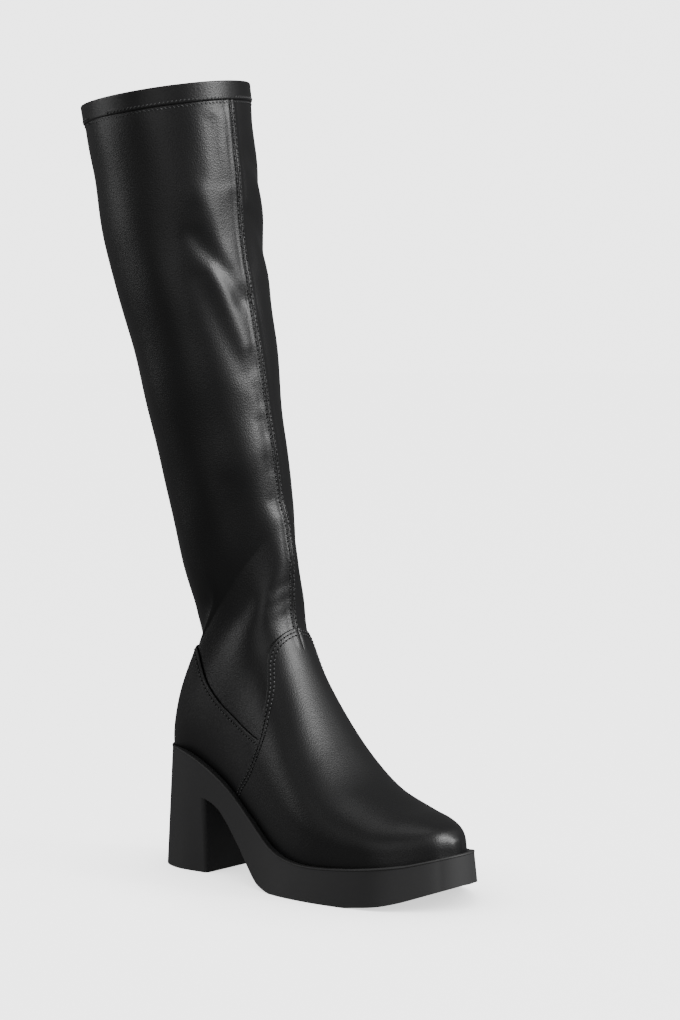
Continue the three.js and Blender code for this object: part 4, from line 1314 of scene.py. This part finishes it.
def underfoot_outline():
    breast = HEEL_BACK + HEEL_DEPTH
    along = np.linspace(breast, SOLE_LENGTH + 20, 90)
    arch = np.stack([along, height_at(UNDERSIDE, along)], axis=1)
    return np.concatenate([[[breast, -20]], arch, [[SOLE_LENGTH + 20, -20]]])


def wall_x(side, along, z):
    rim, floor = outline_loops(150)
    blend = z / rim_height(along)
    plan = floor + (rim - floor) * blend
    right = plan[:, 1] * side > 0
    nearest = np.argmin(np.where(right, np.abs(plan[:, 0] - along), np.inf))
    return plan[nearest, 1]


def heel_corner(side):
    breast = HEEL_BACK + HEEL_DEPTH
    rings = []
    for z in (-2, float(height_at(UNDERSIDE, breast))):
        wall = wall_x(side, breast - HEEL_CORNER, max(0, z)) * side
        plan = [[breast + 1, wall - HEEL_CORNER], [breast + 1, wall + HEEL_CORNER]]
        plan.append([breast - HEEL_CORNER, wall + HEEL_CORNER])
        for angle in np.linspace(0, math.pi / 2, 10):
            plan.append([
                breast - HEEL_CORNER + HEEL_CORNER * math.sin(angle),
                wall - HEEL_CORNER + HEEL_CORNER * math.cos(angle),
            ])
        rings.append(np.array([[x * side, ORIGIN_ALONG - along, z] for along, x in plan]))
    return lofted(rings)


def closed_form(offset, last):
    """The foot's part of the form as a closed body."""
    form = Form(CUTTER_CELL, 0.0, last)
    vertices, quads = form.sheet(offset)
    first_ring = tuple(range(form.around))
    last_ring = tuple((form.count - 1) * form.around + j for j in range(form.around))
    return vertices, [*map(tuple, quads.tolist()), first_ring, last_ring]


def cutter(name, part):
    return face_out(make_object(name, *part, None, smooth=False))


def boolean(obj, other, operation):
    modifier = obj.modifiers.new("cut", "BOOLEAN")
    modifier.operation = operation
    modifier.solver = "EXACT"
    modifier.object = other
    apply_modifiers(obj)
    bpy.data.objects.remove(other)


def above_seat_outline():
    along = np.linspace(-20, SOLE_LENGTH + 20, 60)
    low = np.stack([along, seat_height(along)], axis=1)
    return np.concatenate([low, [[SOLE_LENGTH + 20, REACH], [-20, REACH]]])


def rim_lip():
    """A thin moulded lip along the rim's outer edge."""
    rim, floor = outline_loops(150)
    top = rim_height(rim[:, 0])
    plan = floor + (rim - floor) * (1 - LIP_DROP / top)[:, None]
    places = np.stack([plan[:, 1], ORIGIN_ALONG - plan[:, 0], top - LIP_DROP], axis=1)
    tangent = np.roll(places, -1, axis=0) - np.roll(places, 1, axis=0)
    out = np.cross(tangent, [0, 0, 1.0])
    out /= np.linalg.norm(out, axis=1, keepdims=True)
    out *= np.sign(((places - places.mean(axis=0)) * out).sum())
    return [tube(places - out * LIP_INSET, LIP_RADIUS, sides=12, closed=True)]


def make_sole():
    sole = cutter("sole", sole_block())
    recess = cutter("recess", closed_form(OVERLAY_OUTER + CLEARANCE, len(FOOT_ROWS["top"]) + 1.0))
    boolean(recess, cutter("band", side_prism(above_seat_outline(), -REACH, REACH)), "INTERSECT")
    boolean(sole, recess, "DIFFERENCE")
    boolean(sole, cutter("underfoot", side_prism(underfoot_outline(), -REACH, REACH)), "DIFFERENCE")
    boolean(sole, cutter("corner", heel_corner(1)), "DIFFERENCE")
    boolean(sole, cutter("corner", heel_corner(-1)), "DIFFERENCE")
    sole.data.shade_smooth()
    sole.data.set_sharp_from_angle(angle=math.radians(32))
    sole.data.materials.clear()
    sole.data.materials.append(RUBBER)
    sole.data.materials.append(TREAD)
    for face in sole.data.polygons:
        if face.normal.z < -0.8:
            face.material_index = 1
    ride(sole, "sole", "sole_unit")
    ride(joined("rim_lip", rim_lip(), RUBBER), "sole", "sole_unit")


def make_insole():
    pad = cutter("sock", closed_form(-UPPER_WALL - CLEARANCE, len(FOOT_ROWS["top"]) + 1.0))
    along = np.linspace(-20, SOLE_LENGTH + 20, 60)
    low = np.stack([along, seat_height(along) + CLEARANCE], axis=1)
    high = np.stack([along, seat_height(along) + CLEARANCE + INSOLE_THICKNESS], axis=1)[::-1]
    boolean(pad, cutter("band", side_prism(np.concatenate([low, high]), -REACH, REACH)), "INTERSECT")
    pad.data.materials.append(SOCK)
    return ride(pad, "lining", "insole")


# Floor, lights and camera

def make_stage():
    """A pale glowing floor whose glow dims by ambient occlusion near the boot as a painted contact shadow, and
    a pale room round it that only the camera sees.
    """
    bpy.ops.mesh.primitive_circle_add(vertices=96, radius=9, fill_type="NGON", location=(0, 0, 0))
    floor = bpy.context.object
    floor.name = "studio_floor"
    material, tree, shader = new_material("floor_paint", (0.3, 0.3, 0.302), 0.3)
    shader.inputs["Emission Color"].default_value = (1, 1, 1, 1)
    # painted contact shadow: the floor's glow falls from 3.4 to 1.1 where ambient occlusion finds the boot
    # close by
    shade = node(tree, "ShaderNodeAmbientOcclusion", Distance=0.09)
    tree.links.new(to_range(tree, shade.outputs["AO"], 1.1, 3.4), shader.inputs["Emission Strength"])
    tree.links.new(to_range(tree, noise(tree, 2.5, 2), 0.26, 0.36), shader.inputs["Roughness"])
    floor.data.materials.append(material)
    floor.visible_diffuse = False
    floor.visible_glossy = False

    bpy.ops.mesh.primitive_uv_sphere_add(segments=96, ring_count=48, radius=8.9, location=(0, 0, 0))
    room = bpy.context.object
    room.name = "studio_room"
    room.data.shade_smooth()
    paint, tree, shader = new_material("room_paint", (0.0, 0.0, 0.0), 0.9)
    shader.inputs["Specular IOR Level"].default_value = 0.0
    shader.inputs["Emission Color"].default_value = (1, 1, 1, 1)
    soft = to_range(tree, noise(tree, 0.12, 1), 3.4, 3.7)
    tree.links.new(soft, shader.inputs["Emission Strength"])
    room.data.materials.append(paint)
    room.visible_diffuse = False
    room.visible_glossy = False
    room.visible_shadow = False
    room.visible_transmission = False


def area_light(name, place, target, size, power_watts, height=None):
    data = bpy.data.lights.new(name, "AREA")
    data.energy = power_watts
    data.size = size
    if height is not None:
        data.shape = "RECTANGLE"
        data.size_y = height
    obj = bpy.data.objects.new(name, data)
    obj.location = place
    obj.rotation_mode = "QUATERNION"
    obj.rotation_quaternion = (Vector(target) - Vector(place)).to_track_quat("-Z", "Y")
    bpy.context.scene.collection.objects.link(obj)
    return obj


CAMERA_PLACE = Vector((-1.3833, -1.2619, 0.3957))
CAMERA_RIGHT = Vector((0.638, -0.770, 0)).normalized()
CAMERA_PITCH = math.radians(4.885)
LENS = 99.98


def make_camera():
    ahead = Vector((-CAMERA_RIGHT.y, CAMERA_RIGHT.x, 0))
    forward = ahead * math.cos(CAMERA_PITCH) - Vector((0, 0, 1)) * math.sin(CAMERA_PITCH)
    up = CAMERA_RIGHT.cross(forward)
    data = bpy.data.cameras.new("camera")
    data.lens = LENS
    data.sensor_width = 36
    data.sensor_fit = "AUTO"
    data.clip_end = 100
    camera = bpy.data.objects.new("camera", data)
    turn = Matrix((CAMERA_RIGHT, up, -forward)).transposed()
    camera.rotation_mode = "QUATERNION"
    camera.rotation_quaternion = turn.to_quaternion()
    camera.location = CAMERA_PLACE
    bpy.context.scene.collection.objects.link(camera)
    bpy.context.scene.camera = camera


def make_lights():
    world = bpy.data.worlds.new("studio")
    world.use_nodes = True
    world.node_tree.nodes["Background"].inputs["Color"].default_value = (0.9, 0.9, 0.91, 1)
    world.node_tree.nodes["Background"].inputs["Strength"].default_value = 0.17
    bpy.context.scene.world = world
    middle = (0, -0.05, 0.25)
    area_light("key", (0.62, -1.97, 1.3), middle, 0.4, 66, height=1.0)
    area_light("rim", (-1.3, 1.6, 0.9), middle, 0.9, 12, height=1.4)
    area_light("fill", (-2.3, -1.0, 1.0), middle, 1.6, 9)
    area_light("top", (0.1, 0.2, 2.6), middle, 1.4, 9)


make_stage()
make_camera()
make_lights()
make_upper()
make_sole()
make_insole()

make_zip()
# the near-black tubes that paint the shade in the needle holes, as one piece
ride(joined("needle_hole_shades", HOLE_SHADES, HOLE_SHADE), "upper", "upper")
